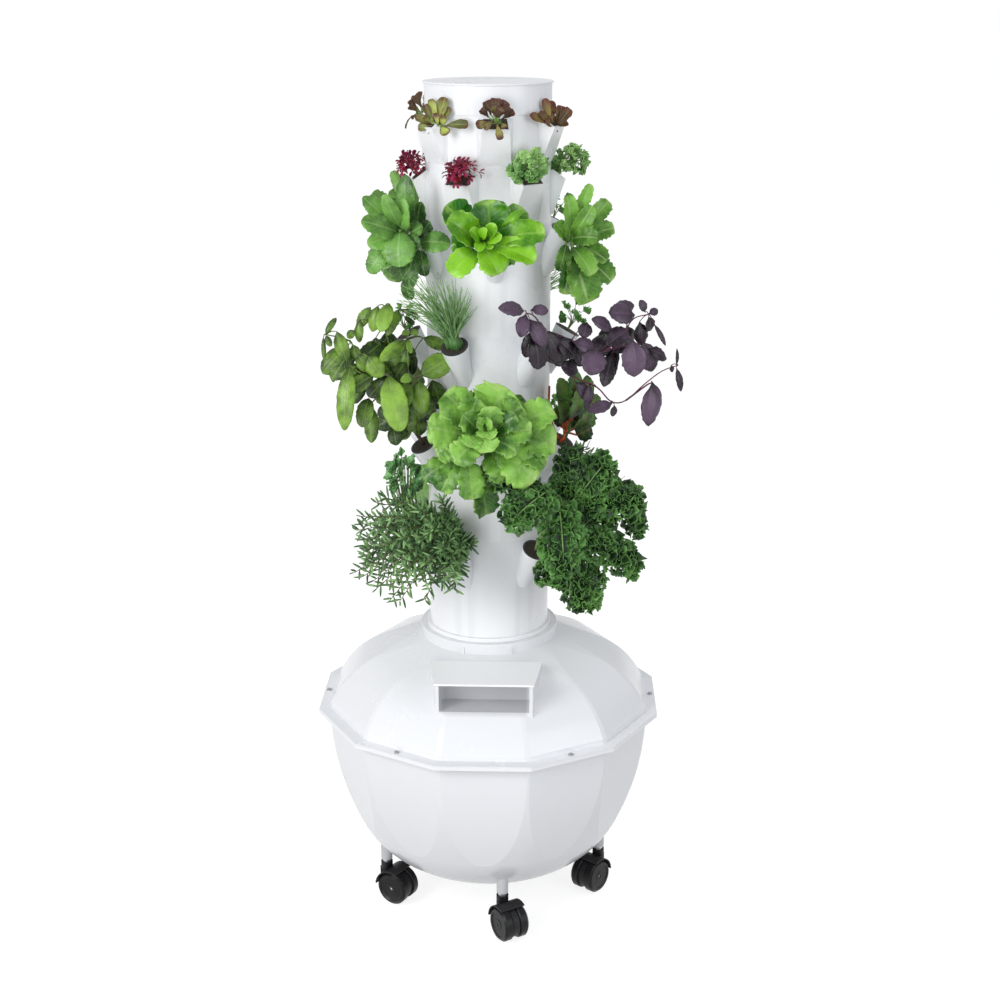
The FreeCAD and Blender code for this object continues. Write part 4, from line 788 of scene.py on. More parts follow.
def placed(greens, site, leaves, blade, face, arch=0.5, spread=0.15):
    """Leaves at given places, each with its width in millimetres and its tone. Their upper sides
    face outward, upward and, by face, sideways."""
    rng = greens.rng
    for row in leaves:
        start, tip = site.spot(*row[:3]), site.spot(*row[3:6])
        normal = site.out * 0.75 + UP * 0.45 + site.side * (face + rng.uniform(-spread, spread))
        greens.leaf(start, tip, normal, row[6] / 1000.0, blade, arch * rng.uniform(0.7, 1.3),
                    rng.uniform(-spread, spread), row[7])


def stalks(greens, site, leaves, knee, radius):
    """A stalk from the mouth to the foot of each placed leaf."""
    for row in leaves:
        start = site.spot(*row[:3])
        bend = site.spot(*knee)
        middle = (bend + start) / 2
        greens.stem([site.root, bend, middle, start], radius, radius * 0.7)


def branches(greens, site, stems, leaves, radius):
    """The stems at given places, and a stalk from the nearest of them to the foot of each leaf."""
    spots = [[site.spot(*spot) for spot in line] for line in stems]
    for line in spots:
        greens.stem(line, radius, radius * 0.5, 7)
    for row in leaves:
        start = site.spot(*row[:3])
        near = min((spot for line in spots for spot in line[1:]),
                   key=lambda spot: np.linalg.norm(spot - start))
        if np.linalg.norm(near - start) > 0.003:
            greens.stem([near, (near + start) / 2 + UP * 0.003, start], radius * 0.5, radius * 0.4, 5)


def tufts(greens, site, count, size, spread=1.0, folds=3.2, gather=0.25, stalk=0.0010, share=1.0, low=-0.5):
    """Thin stalks that each end in a few curled fans."""
    rng = greens.rng
    for index in range(count):
        level = low + (1.0 - low) * (index + 0.5) / count
        toward = site.toward(level, GOLDEN_TURN * index + rng.uniform(-0.3, 0.3))
        tip = site.at(toward, share * rng.uniform(0.55, 1.0) - 0.1)
        knee = site.foot + site.axis * 0.02 + toward * 0.004
        spots = [site.root, knee, (knee + tip) / 2 + UP * 0.004, tip]
        greens.stem(spots, stalk, stalk * 0.6, 5)
        for fan in range(3):
            heading = unit(toward + site.side * rng.uniform(-0.9, 0.9) + UP * rng.uniform(-0.5, 0.7))
            normal = site.out + UP * 0.6 + site.side * rng.uniform(-0.5, 0.5)
            # Upper fans get a lighter tone and lower ones a darker: painted light and shade by height
            greens.fan(tip - heading * size * 0.2, tip + heading * size * rng.uniform(0.7, 1.05), normal,
                       spread, folds, gather, 0.3 + 0.5 * level + rng.uniform(-0.2, 0.2), 6, 16)


def curly_leaf(greens, site, row, blade, patch):
    """A leaf whose face and margin are packed with curled frills, one for each patch of its area."""
    rng = greens.rng
    start, tip = site.spot(*row[:3]), site.spot(*row[3:6])
    width, tone = row[6] / 1000.0, row[7]
    chord = tip - start
    reach = np.linalg.norm(chord)
    ahead = chord / reach
    normal = unit(site.out * 0.6 + UP * 0.5 - site.side * 0.35)
    normal = unit(normal - ahead * (normal @ ahead))
    side = np.cross(ahead, normal)
    arch = 0.4

    def place(share, across, lift):
        half = width / 2 * math.sin(math.pi * (0.12 + 0.80 * share)) ** 0.6
        bow = reach * arch * share * (1 - share)
        return start + ahead * reach * share + side * half * across * 0.85 + normal * (bow + lift)

    greens.leaf(start, tip, normal, width * 0.7, blade, arch, 0.0, 0.0)
    ribbed = tone >= RIBBED_TONE
    if ribbed:
        greens.stem([place(share, 0.0, 0.008) for share in (0.0, 0.3, 0.6, 0.85)], 0.0022, 0.0009, tone=1.0)
    frills = int(reach * width / patch)
    for index in range(frills):
        share = (index + 0.5) / frills
        across = (index * 0.618) % 1.0 * 2 - 1
        if ribbed and abs(across) < 0.16 and share < 0.8:
            across = math.copysign(0.3, across)
        root = place(share, across, 0.003 - 0.006 * abs(across))
        heading = unit(normal * (1.0 - 0.7 * abs(across)) + side * across * 1.3
                       + ahead * rng.uniform(-0.5, 0.6))
        facing = ahead * rng.uniform(-1, 1) + side * rng.uniform(-1, 1) + normal * 0.4
        size = rng.uniform(0.011, 0.017)
        greens.fan(root - heading * 0.003, root + heading * size, facing, 1.25, rng.uniform(1.6, 2.6), 0.35,
                   tone * 0.8 + rng.uniform(-0.25, 0.25), 3, 12)


# Colours of the stems, at their foot and at their tip
STEM_COLOURS = {
    "pale": ((0.30, 0.42, 0.16), (0.24, 0.42, 0.10)),
    "red": ((0.55, 0.03, 0.05), (0.50, 0.10, 0.06)),
    "flame": ((0.70, 0.09, 0.02), (0.60, 0.16, 0.04)),
    "wine": ((0.10, 0.02, 0.05), (0.16, 0.03, 0.08)),
    "brown": ((0.10, 0.06, 0.03), (0.20, 0.22, 0.08)),
    "leafy": ((0.10, 0.07, 0.03), (0.18, 0.33, 0.07)),
    "rib": ((0.22, 0.36, 0.10), (0.26, 0.48, 0.14)),
}
# For each kind, its stem and the look of its leaves
LEAF_LOOKS = {
    "oakleaf": ("pale", "leaf_oak_amber", dict(deep=(0.05, 0.030, 0.010), light=(0.34, 0.26, 0.07),
        rib=(0.40, 0.30, 0.12), under=(0.30, 0.20, 0.09), edge=(0.13, 0.035, 0.020), edge_from=0.62,
        veins=0.2, ribs=0.4)),
    "oakleaf_green": ("pale", "leaf_oak_green", dict(deep=(0.05, 0.055, 0.012), light=(0.36, 0.44, 0.09),
        rib=(0.42, 0.46, 0.14), under=(0.30, 0.30, 0.10), edge=(0.12, 0.045, 0.02), edge_from=0.68,
        veins=0.2, ribs=0.4, mottle=0.2)),
    "oakleaf_wine": ("pale", "leaf_oak_wine", dict(deep=(0.035, 0.014, 0.010), light=(0.28, 0.26, 0.07),
        rib=(0.30, 0.20, 0.08), under=(0.22, 0.13, 0.07), edge=(0.085, 0.025, 0.018), edge_from=0.60,
        veins=0.2, ribs=0.4, mottle=0.3)),
    "amaranth": ("red", "leaf_amaranth", dict(deep=(0.08, 0.003, 0.018), light=(0.32, 0.008, 0.06),
        rib=(0.34, 0.02, 0.09), under=(0.22, 0.01, 0.06), edge=(0.07, 0.03, 0.02), edge_from=0.95,
        veins=0.3)),
    "frilly": ("pale", "leaf_frilly", dict(deep=(0.07, 0.23, 0.04), light=(0.46, 0.74, 0.26),
        rib=(0.40, 0.58, 0.22), under=(0.26, 0.46, 0.16), veins=0.25)),
    # Butterhead: the lighter edge colour is a painted highlight on the lit rims
    "butterhead": ("pale", "leaf_butterhead", dict(deep=(0.012, 0.13, 0.002), light=(0.22, 0.52, 0.018),
        rib=(0.42, 0.66, 0.16), under=(0.20, 0.46, 0.05), edge=(0.42, 0.70, 0.14), edge_from=0.86,
        gloss=0.24, veins=0.22, mottle=0.35, crinkle=0.7, ribs=0.25)),
    # Cabbage: the lighter edge colour is a painted highlight on the lit rims
    "cabbage_head": ("pale", "leaf_cabbage", dict(deep=(0.016, 0.10, 0.006), light=(0.23, 0.48, 0.07),
        rib=(0.42, 0.60, 0.22), under=(0.24, 0.44, 0.11), edge=(0.40, 0.62, 0.16), edge_from=0.84,
        gloss=0.29, veins=0.30, mottle=0.45, crinkle=0.9, ribs=0.3)),
    "spinach": ("pale", "leaf_spinach", dict(deep=(0.022, 0.085, 0.012), light=(0.16, 0.38, 0.06),
        rib=(0.34, 0.52, 0.18), under=(0.20, 0.36, 0.12), edge=(0.24, 0.46, 0.12), edge_from=0.86,
        gloss=0.28, veins=0.45, mottle=0.45, crinkle=1.2, ribs=0.4)),
    "romaine": ("pale", "leaf_romaine", dict(deep=(0.025, 0.11, 0.008), light=(0.18, 0.42, 0.05),
        rib=(0.40, 0.58, 0.20), under=(0.22, 0.40, 0.12), edge=(0.34, 0.56, 0.14), edge_from=0.84,
        gloss=0.29, veins=0.40, mottle=0.45, crinkle=0.9, ribs=0.6)),
    "purple_basil": ("wine", "leaf_purple_basil", dict(deep=(0.006, 0.003, 0.006),
        light=(0.100, 0.060, 0.105), rib=(0.15, 0.09, 0.15), under=(0.09, 0.04, 0.09),
        edge=(0.018, 0.010, 0.018), edge_from=0.80, gloss=0.28, veins=0.25, mottle=0.3, crinkle=0.9,
        ribs=0.4)),
    "parsley": ("pale", "leaf_parsley", dict(deep=(0.05, 0.22, 0.03), light=(0.18, 0.46, 0.08),
        rib=(0.25, 0.48, 0.12), under=(0.20, 0.40, 0.12))),
    "basil": ("leafy", "leaf_basil", dict(deep=(0.014, 0.040, 0.006), light=(0.22, 0.40, 0.050),
        rib=(0.27, 0.42, 0.10), under=(0.19, 0.31, 0.10), gloss=0.26, veins=0.50, mottle=0.45,
        crinkle=0.8, ribs=0.4)),
    "chard": ("flame", "leaf_chard", dict(deep=(0.018, 0.055, 0.012), light=(0.11, 0.25, 0.045),
        rib=(0.35, 0.16, 0.06), under=(0.18, 0.25, 0.09), veins=0.3, ribs=0.5)),
    "rosemary": ("brown", "leaf_rosemary", dict(deep=(0.022, 0.070, 0.020), light=(0.26, 0.46, 0.17),
        rib=(0.12, 0.24, 0.10), under=(0.32, 0.46, 0.26), veins=0.0, ribs=0.4)),
    "oregano": ("pale", "leaf_oregano", dict(deep=(0.058, 0.19, 0.052), light=(0.25, 0.52, 0.19),
        rib=(0.22, 0.42, 0.16), under=(0.20, 0.38, 0.16))),
    # Kale: deep fills the curls' bases as painted shade in the hollows, and the lighter edge is a painted
    # highlight on the lit curl tips
    "kale": ("rib", "leaf_kale", dict(deep=(0.004, 0.022, 0.005), light=(0.088, 0.255, 0.050),
        rib=(0.16, 0.32, 0.09), under=(0.06, 0.15, 0.04), edge=(0.17, 0.38, 0.08), edge_from=0.80,
        gloss=0.40, veins=0.10, vein_count=6.0, crinkle=1.2, rib_width=0.04, ribs=0.2)),
}


def plant_looks():
    """The leaf and stem materials of every kind."""
    stems = {name: stem_material("stem_" + name, *ends) for name, ends in STEM_COLOURS.items()}
    looks = {kind: (leaf_material(name, **look), stems[stem])
             for kind, (stem, name, look) in LEAF_LOOKS.items()}
    looks["chives"] = (stem_material("leaf_chive", (0.08, 0.22, 0.05), (0.32, 0.54, 0.22)), stems["pale"])
    return looks


def grow_amaranth(greens, site):
    blade = Blade(0.9, 0.7, 0.15, 0.06, ruffle=0.18, waves=3, rows=7, cols=4)
    bush(greens, site, blade, 15, 3, 0.015, 0.62, 0.1, 0.45, 0.86, 0.0010)


def grow_frilly(greens, site):
    tufts(greens, site, 22, 0.017, 1.1, 2.6, 0.28, 0.0011, 0.95)


# Leaves of a kind, in millimetres from the port's mouth: the foot, outward, sideways and up, the tip
# in the same way, the width, and the tone from 0 to 1, which darkens back leaves and lightens front ones as
# painted shade and light
BUTTERHEAD_LEAVES = (
    (60, -60, 20, 70, -105, 75, 72, 0.1), (60, -20, 10, 70, -25, 85, 84, 0.1),
    (80, -50, 5, 115, -105, 55, 64, 0.5), (80, 0, 25, 90, 35, 65, 20, 0.6),
    (85, -10, 10, 105, 80, 25, 58, 0.4), (95, -20, 5, 120, 60, -25, 52, 0.9),
    (95, -35, 0, 115, -10, -50, 72, 0.9), (85, -50, -10, 110, -100, -50, 54, 1.0),
    (60, -55, -5, 70, -95, -10, 20, 0.3), (95, -40, 10, 125, -65, 35, 28, 0.7),
    (95, -30, 15, 125, -15, 45, 28, 0.5), (95, -30, 10, 130, -5, 20, 28, 0.8),
    (95, -40, 10, 125, -50, -5, 24, 0.9), (95, -30, 5, 130, -25, 0, 20, 0.6),
    (100, -40, 15, 130, -35, 40, 20, 0.9), (60, -20, 5, 50, 50, 60, 56, 0.2),
    (60, -40, 0, 45, -90, 20, 60, 0.1), (55, -25, -5, 50, 30, -30, 60, 0.2),
)
CABBAGE_LEAVES = (
    (60, -60, 75, 65, -110, 145, 84, 0.6), (65, -30, 85, 70, 10, 155, 112, 0.8),
    (65, -65, 55, 75, -145, 80, 90, 0.8), (60, 20, 65, 65, 105, 105, 72, 0.9),
    (65, 20, 50, 75, 110, 40, 82, 0.7), (85, -5, 45, 110, 65, -25, 108, 0.8),
    (85, -25, 30, 115, 10, -20, 84, 0.7), (110, -50, 60, 140, -100, 25, 66, 0.7),
    (60, -90, 10, 75, -155, -25, 56, 0.3), (65, -85, 10, 85, -120, -50, 56, 0.4),
    (75, -65, 10, 95, -60, -65, 64, 0.6), (50, -45, -30, 60, -30, -110, 64, 0.2),
    (100, -50, 75, 120, -80, 115, 56, 0.5), (100, -30, 80, 120, -25, 130, 60, 0.8),
    (100, -15, 75, 120, 25, 110, 52, 0.2), (110, -20, 60, 135, 25, 40, 56, 0.4),
    (120, -40, 80, 145, -35, 45, 58, 0.9), (115, -55, 75, 140, -70, 55, 50, 0.7),
    (100, -5, 65, 115, 55, 80, 60, 0.5), (80, -65, 95, 95, -50, 140, 66, 0.5),
    (85, -5, 90, 90, 40, 120, 66, 0.4), (80, -85, 45, 90, -130, 30, 66, 0.5),
    (80, 25, 30, 90, 90, 10, 66, 0.6), (125, -40, 90, 140, -55, 105, 30, 0.8),
    (125, -35, 90, 140, -25, 105, 30, 0.6), (130, -40, 85, 145, -45, 75, 30, 0.9),
    (130, -35, 85, 145, -20, 75, 30, 0.7), (50, -20, 70, 30, -60, 130, 80, 0.3),
    (50, 0, 60, 25, 60, 110, 80, 0.3), (50, -50, 30, 30, -110, 20, 80, 0.2),
    (50, 10, 30, 35, 70, 0, 80, 0.2), (60, -20, 20, 50, 0, -60, 80, 0.3),
)
SPINACH_LEAVES = (
    (30, 10, 25, 40, 10, 120, 44, 0.4), (55, 20, 15, 110, 40, 90, 36, 0.8),
    (70, 30, 10, 150, 20, 40, 52, 0.7), (60, -20, 25, 105, -30, 65, 34, 0.2),
    (55, 30, 10, 70, 50, 80, 36, 1.0), (0, -10, -10, 5, 10, 65, 36, 0.2),
    (75, 40, 15, 90, 60, -50, 72, 0.9), (80, 0, -25, 110, -20, -70, 42, 0.6),
    (60, -10, -35, 95, 10, -60, 40, 0.3), (30, 40, -10, -10, 90, -10, 48, 0.4),
    (10, 0, -25, 35, 10, -105, 48, 0.0), (5, 20, -45, 45, 0, -85, 36, 0.1),
    (40, 0, -85, 25, 0, -130, 28, 0.1), (15, 30, 5, 10, 50, 30, 32, 0.1),
    (10, 20, -30, 10, 30, -80, 32, 0.0), (50, 40, 10, 35, 60, 25, 36, 0.5),
    (60, 40, 5, 55, 70, -20, 42, 0.5), (40, -10, 20, 50, -40, 70, 40, 0.3),
    (50, -20, 10, 80, -60, 40, 44, 0.4), (50, -20, -10, 70, -60, -30, 44, 0.3),
    (40, -20, -30, 50, -40, -80, 40, 0.2), (60, 0, 20, 120, -20, 80, 38, 0.7),
    (70, 20, 0, 130, 10, -10, 46, 0.8),
)
ROMAINE_LEAVES = (
    (25, -20, 30, 65, -25, 100, 30, 0.9), (25, -40, -15, 30, -60, 80, 42, 0.9),
    (35, -40, 0, 75, -40, 60, 38, 0.8), (35, 0, -20, 65, 20, 30, 42, 0.3),
    (50, -20, -25, 100, -20, -50, 42, 0.5), (30, -30, -45, 65, -30, -135, 80, 0.6),
    (40, 0, -50, 100, 10, -95, 56, 0.5), (30, -30, -35, 25, -60, -115, 42, 0.1),
    (40, -50, -5, 95, -60, 0, 46, 0.6), (25, -40, -10, 5, -60, 25, 36, 0.7),
    (20, -40, -20, 15, -60, -70, 36, 0.2), (35, -40, -25, 80, -50, -75, 46, 0.8),
    (10, 30, -30, 35, 60, 15, 42, 0.3), (20, 30, -35, 55, 65, -45, 42, 0.3),
    (10, 30, -50, 30, 60, -110, 50, 0.2), (40, 10, -10, 100, 20, 10, 44, 0.5),
    (40, 10, 10, 80, 40, 60, 40, 0.6), (30, 10, -40, 70, 40, -90, 50, 0.3),
)
PURPLE_LEAVES = (
    (70, -85, 90, 80, -155, 105, 32, 0.8), (70, -70, 90, 75, -30, 85, 24, 0.8),
    (75, -85, 85, 90, -110, 45, 32, 0.8), (80, -80, 75, 95, -50, 20, 40, 0.7),
    (70, -65, 45, 70, -50, -30, 46, 0.0), (65, -30, 45, 65, 10, -25, 46, 0.1),
    (70, -5, 25, 80, 35, -15, 42, 0.1), (90, 20, 20, 100, 70, 0, 36, 0.6),
    (110, 65, 5, 120, 40, -45, 56, 0.7), (90, 55, 55, 90, 45, 25, 32, 0.3),
    (110, 105, -10, 115, 80, -75, 36, 0.0), (110, 105, 35, 110, 50, 65, 32, 0.5),
    (130, 145, 65, 120, 85, 75, 48, 0.6), (110, 100, 75, 110, 160, 80, 32, 0.5),
    (120, 80, 10, 120, 135, 35, 44, 0.3), (140, 130, 20, 150, 130, -55, 60, 1.0),
    (130, 165, 10, 135, 190, -55, 46, 0.5), (140, 175, -5, 150, 215, -30, 30, 0.1),
    (120, 180, 65, 115, 170, 90, 20, 0.5), (120, 190, 60, 120, 215, 65, 18, 0.6),
    (120, 190, 55, 120, 195, 25, 30, 0.2), (125, 200, 40, 140, 220, -5, 12, 0.4),
    (100, 140, 15, 100, 125, -15, 46, 0.1), (110, 175, 45, 110, 185, -5, 36, 0.2),
    (120, 100, -110, 115, 40, -120, 28, 0.6), (120, 105, -115, 115, 105, -140, 16, 0.2),
    (140, 185, -80, 145, 175, -165, 46, 0.9), (135, 190, -75, 140, 205, -145, 32, 0.8),
    (190, 205, -35, 190, 205, 0, 8, 0.2), (185, 210, -40, 190, 220, -90, 16, 0.2),
    (180, 200, -35, 180, 205, -50, 12, 0.1), (80, 35, -65, 80, 75, -110, 30, 0.5),
    (90, 65, -70, 90, 55, -125, 20, 0.3), (70, 50, -50, 65, 10, -30, 36, 0.3),
    (60, -40, 50, 40, -60, -10, 44, 0.0), (60, 0, 30, 40, 30, -40, 44, 0.0),
    (60, 15, 25, 65, 10, -25, 46, 0.0), (60, -15, 20, 65, -10, -25, 40, 0.1),
    (60, 40, 10, 65, 65, -40, 40, 0.1), (65, -40, 35, 70, -50, -30, 40, 0.0),
    (80, 120, 35, 85, 105, 5, 34, 0.0), (70, 150, -5, 75, 115, -85, 34, 0.1),
    (90, 110, 30, 60, 100, -30, 44, 0.1), (100, 150, 40, 70, 170, -20, 44, 0.1),
)
PURPLE_STEMS = (
    ((0, 0, 0), (20, -5, 30), (50, -35, 60), (70, -65, 80), (70, -80, 85)),
    ((0, 0, 0), (25, 5, 30), (50, 20, 20), (60, 45, -20), (60, 50, -60), (95, 80, -80), (110, 105, -110),
     (120, 135, -110), (130, 175, -80), (160, 195, -50), (190, 210, -35)),
    ((0, 0, 0), (25, 5, 30), (60, 40, 15), (95, 85, -10), (120, 120, 25), (120, 150, 55), (120, 190, 60)),
    ((95, 85, -10), (110, 120, 0), (125, 165, 5)),
    ((120, 135, -110), (135, 180, -80), (140, 185, -80)),
    ((25, 5, 30), (45, -20, 45), (60, -50, 50)),
)
KALE_LEAVES = (
    (95, -40, 160, 130, -175, 120, 84, 0.6), (100, -20, 130, 150, -45, 0, 98, 0.8),
    (70, 25, 125, 70, 35, 235, 66, 0.2), (80, 35, 115, 90, 120, 200, 84, 0.6),
    (90, 30, 115, 120, 185, 110, 84, 0.5), (90, 155, 85, 100, 205, 25, 52, 0.1),
    (100, 30, 55, 130, 170, -40, 84, 0.5), (100, 25, 0, 120, 45, -105, 102, 0.3),
    (80, 0, 15, 90, -35, -45, 76, 0.1), (70, 55, 90, 80, 140, 60, 56, 0.0),
    (60, -95, 175, 70, -165, 195, 52, 0.2), (85, 75, 155, 95, 135, 140, 62, 0.5),
)
BASIL_LEAVES = (
    (110, 10, 305, 125, 10, 255, 28, 0.6), (95, 30, 310, 125, 40, 260, 34, 0.9),
    (115, -10, 300, 140, -20, 260, 28, 0.5), (55, 0, 290, 95, 20, 245, 22, 0.5),
    (30, -20, 270, 5, -20, 250, 12, 0.1), (40, -20, 285, -15, -40, 260, 14, 0.3),
    (225, 0, 260, 200, 0, 290, 14, 0.3), (230, 0, 255, 230, 0, 210, 10, 0.3),
    (230, 10, 260, 225, 20, 240, 14, 0.1), (205, 10, 265, 190, 20, 205, 30, 0.5),
    (160, 0, 260, 170, -10, 245, 18, 0.5), (200, -10, 215, 205, -10, 160, 16, 0.2),
    (195, 40, 200, 225, 60, 80, 40, 0.7), (130, -10, 160, 160, -10, 110, 30, 0.1),
    (155, 40, 130, 185, 60, 80, 36, 0.6), (135, 20, 105, 145, 30, 35, 32, 0.3),
    (120, 60, 175, 120, 100, 70, 56, 0.9), (75, 50, 155, 85, 70, 110, 34, 0.7),
    (50, 60, 155, 55, 80, 90, 42, 0.8), (-10, 20, 140, -35, 20, 75, 42, 0.2),
    (45, 60, 165, -30, 60, 190, 52, 0.9), (10, 20, 230, -40, 30, 205, 28, 0.5),
    (55, 30, 235, 60, 50, 210, 14, 0.6), (50, 30, 250, 80, 50, 250, 14, 0.8),
    (50, 30, 250, 35, 40, 245, 14, 0.8), (65, 40, 235, 145, 70, 210, 30, 0.7),
    (155, 40, 215, 135, 60, 175, 40, 0.8), (165, 20, 215, 150, 40, 185, 32, 0.6),
    (110, 0, 240, 110, 0, 205, 24, 0.2), (75, -20, 235, 90, -20, 190, 30, 0.0),
    (170, 10, 235, 165, 20, 200, 24, 0.4), (165, 30, 175, 200, 40, 145, 22, 0.7),
    (85, 20, 60, 85, 30, 20, 32, 0.3), (15, 10, 70, 10, 10, 30, 28, 0.2),
    (115, 30, 125, 140, 40, 135, 16, 0.5), (65, 60, 165, 105, 80, 165, 20, 0.6),
    (145, 0, 280, 150, 0, 235, 20, 0.5), (45, -20, 190, 35, -30, 150, 24, 0.0),
    (15, -10, 195, 20, -10, 150, 24, 0.1), (85, -10, 145, 100, -20, 130, 24, 0.0),
    (5, -20, 105, 0, -30, 60, 28, 0.0), (80, -20, 95, 85, -20, 60, 30, 0.1),
)
BASIL_STEMS = (
    ((0, 0, 0), (30, 5, 45), (45, 20, 100), (55, 30, 145), (55, 30, 190), (55, 30, 235), (50, 30, 250)),
    ((0, 0, 0), (40, 10, 55), (65, 20, 125), (120, 60, 175), (145, 40, 185), (165, 20, 215),
     (180, 10, 245), (225, 0, 260)),
    ((0, 0, 0), (30, 0, 55), (50, 0, 140), (75, 0, 210), (95, 10, 260), (100, 20, 305)),
    ((0, 0, 0), (35, 20, 60), (40, 40, 110), (50, 60, 160)),
    ((145, 40, 185), (165, 35, 180), (195, 40, 200)),
    ((55, 30, 235), (25, 20, 235), (10, 20, 230)),
    ((120, 60, 175), (130, 40, 135), (145, 30, 115)),
    ((95, 10, 260), (70, 5, 280), (50, 0, 290)),
    ((95, 10, 260), (120, 0, 275), (145, 0, 280)),
    ((65, 20, 125), (85, 20, 85), (85, 20, 60)),
)
OAK_FRONT = (
    (20, 0, 5, 40, 5, -25, 16, 1.0), (15, -10, 5, 25, -40, 0, 20, 0.7), (10, 10, 10, 15, 35, 25, 18, 0.1),
    (5, 0, 20, 5, 0, 50, 26, 0.3), (5, 5, 20, 10, 20, 45, 22, 0.2), (5, -10, 20, 5, -20, 45, 22, 0.3),
    (10, -15, 15, 10, -30, 30, 18, 0.1), (20, -5, 20, 25, -10, 40, 20, 0.5),
    (20, 0, 20, 25, 10, 35, 20, 0.4), (20, 0, 15, 35, 0, 30, 16, 0.2), (20, -5, 10, 25, -25, -5, 16, 0.6),
    (15, 10, 5, 20, 15, -5, 16, 0.7), (15, 5, 15, 15, 25, 35, 18, 0.2),
)
OAK_LEFT = (
    (-10, 20, -5, 0, 5, 45, 18, 1.0), (-5, 30, -5, -10, 40, 50, 24, 0.5), (0, 40, -5, 0, 60, -20, 22, 1.0),
    (-5, 45, -5, -30, 90, 0, 20, 0.3), (-10, 10, -5, 25, -10, 10, 18, 0.4),
    (-5, 10, -10, 20, -10, -10, 18, 0.5), (-5, 10, -5, 10, 0, 35, 16, 0.2),
    (-5, 15, -5, 10, 0, 15, 20, 0.4), (-5, 25, 0, -15, 50, 30, 18, 0.5), (0, 30, -5, 0, 30, 20, 20, 0.7),
    (0, 25, -5, 5, 5, -15, 18, 0.5), (-5, 40, -5, 0, 50, 15, 18, 0.8),
)
OAK_RIGHT = (
    (-5, -5, -10, -10, -30, 45, 22, 0.6), (-5, -5, -10, -5, -5, 40, 20, 0.6),
    (5, 0, -10, 15, 5, 30, 28, 0.1), (5, 0, -10, 30, 10, 25, 22, 0.1), (-5, -5, -10, -20, -75, 15, 20, 0.8),
    (-5, -5, -10, -10, -55, 20, 18, 0.4), (-5, -5, -10, 0, -45, 0, 18, 0.3),
    (0, -5, -10, -5, -15, 20, 20, 0.2), (0, -5, -10, 10, 0, -15, 20, 0.9), (5, 0, -10, 25, 10, 0, 20, 0.1),
    (0, 0, -10, 10, 0, 10, 18, 0.3),
)


OAK_BLADE = Blade(1.5, 0.42, 0.0, 0.20, fold=0.10, cup=0.22, ruffle=0.05, waves=2.0, rows=12, cols=6)
BUTTERHEAD_BLADE = Blade(0.62, 0.42, 0.0, 0.16, fold=0.14, cup=0.38, curl=0.20, ruffle=0.06, waves=2.5,
                         blister=0.012, rows=18, cols=12, thick=0.0008)
CABBAGE_BLADE = Blade(0.60, 0.38, 0.0, 0.18, fold=0.10, cup=0.28, curl=0.25, ruffle=0.10, waves=3.0,
                      blister=0.028, rows=20, cols=14, thick=0.0009)
SPINACH_BLADE = Blade(0.55, 0.52, 0.04, 0.05, fold=0.12, cup=-0.12, ruffle=0.06, waves=4, blister=0.035,
                      rows=16, cols=10)
ROMAINE_BLADE = Blade(0.60, 0.40, 0.0, 0.10, fold=0.22, cup=0.12, ruffle=0.08, waves=4, blister=0.025,
                      rows=20, cols=10)


def grower(leaves, blade, knee, radius, face, arch=0.45):
    """The way of growing of a kind whose leaves stand at given places on stalks with one knee."""
    def grow(greens, site):
        stalks(greens, site, leaves, knee, radius)
        placed(greens, site, leaves, blade, face, arch)
    return grow


def grow_chives(greens, site):
    grass(greens, site, 124, 0.0022)


def grow_purple_basil(greens, site):
    blade = Blade(0.60, 0.68, 0.08, 0.04, fold=0.20, cup=-0.22, ruffle=0.05, waves=4, blister=0.03,
                  rows=14, cols=10)
    branches(greens, site, PURPLE_STEMS, PURPLE_LEAVES, 0.0022)
    placed(greens, site, PURPLE_LEAVES, blade, -0.3, 0.35, 0.25)


def grow_parsley(greens, site):
    tufts(greens, site, 9, 0.015, 0.9, 2.4, 0.20, 0.0010, 0.9)


def grow_basil(greens, site):
    blade = Blade(0.50, 0.52, 0.05, 0.04, fold=0.16, cup=-0.30, ruffle=0.04, waves=3, blister=0.035,
                  rows=14, cols=10)
    branches(greens, site, BASIL_STEMS, BASIL_LEAVES, 0.0026)
    placed(greens, site, BASIL_LEAVES, blade, 0.9, 0.5, 0.25)
    rng = greens.rng
    # More leaves set along the main stems, turned back and down, with a low tone: painted shade on leaves
    # behind the front ones
    for index in range(56):
        spots = [site.spot(*spot) for spot in BASIL_STEMS[index % 4]]
        point, ahead = curve_point(spots, 0.25 + 0.58 * (index // 4) / 13)
        way = (site.out * rng.uniform(-0.7, 1.0) - site.side * rng.uniform(0.0, 0.9)
               - UP * rng.uniform(0.1, 1.0))
        start = point + unit(way) * 0.012
        size = rng.uniform(0.045, 0.072)
        greens.stem([point, start], 0.0011, 0.0009, 5)
        greens.leaf(start, start + unit(way) * size, site.side * 0.9 + site.out * 0.6 + UP * 0.5, size * 0.62,
                    blade, 0.5, rng.uniform(-0.3, 0.3), rng.uniform(0.0, 0.45))


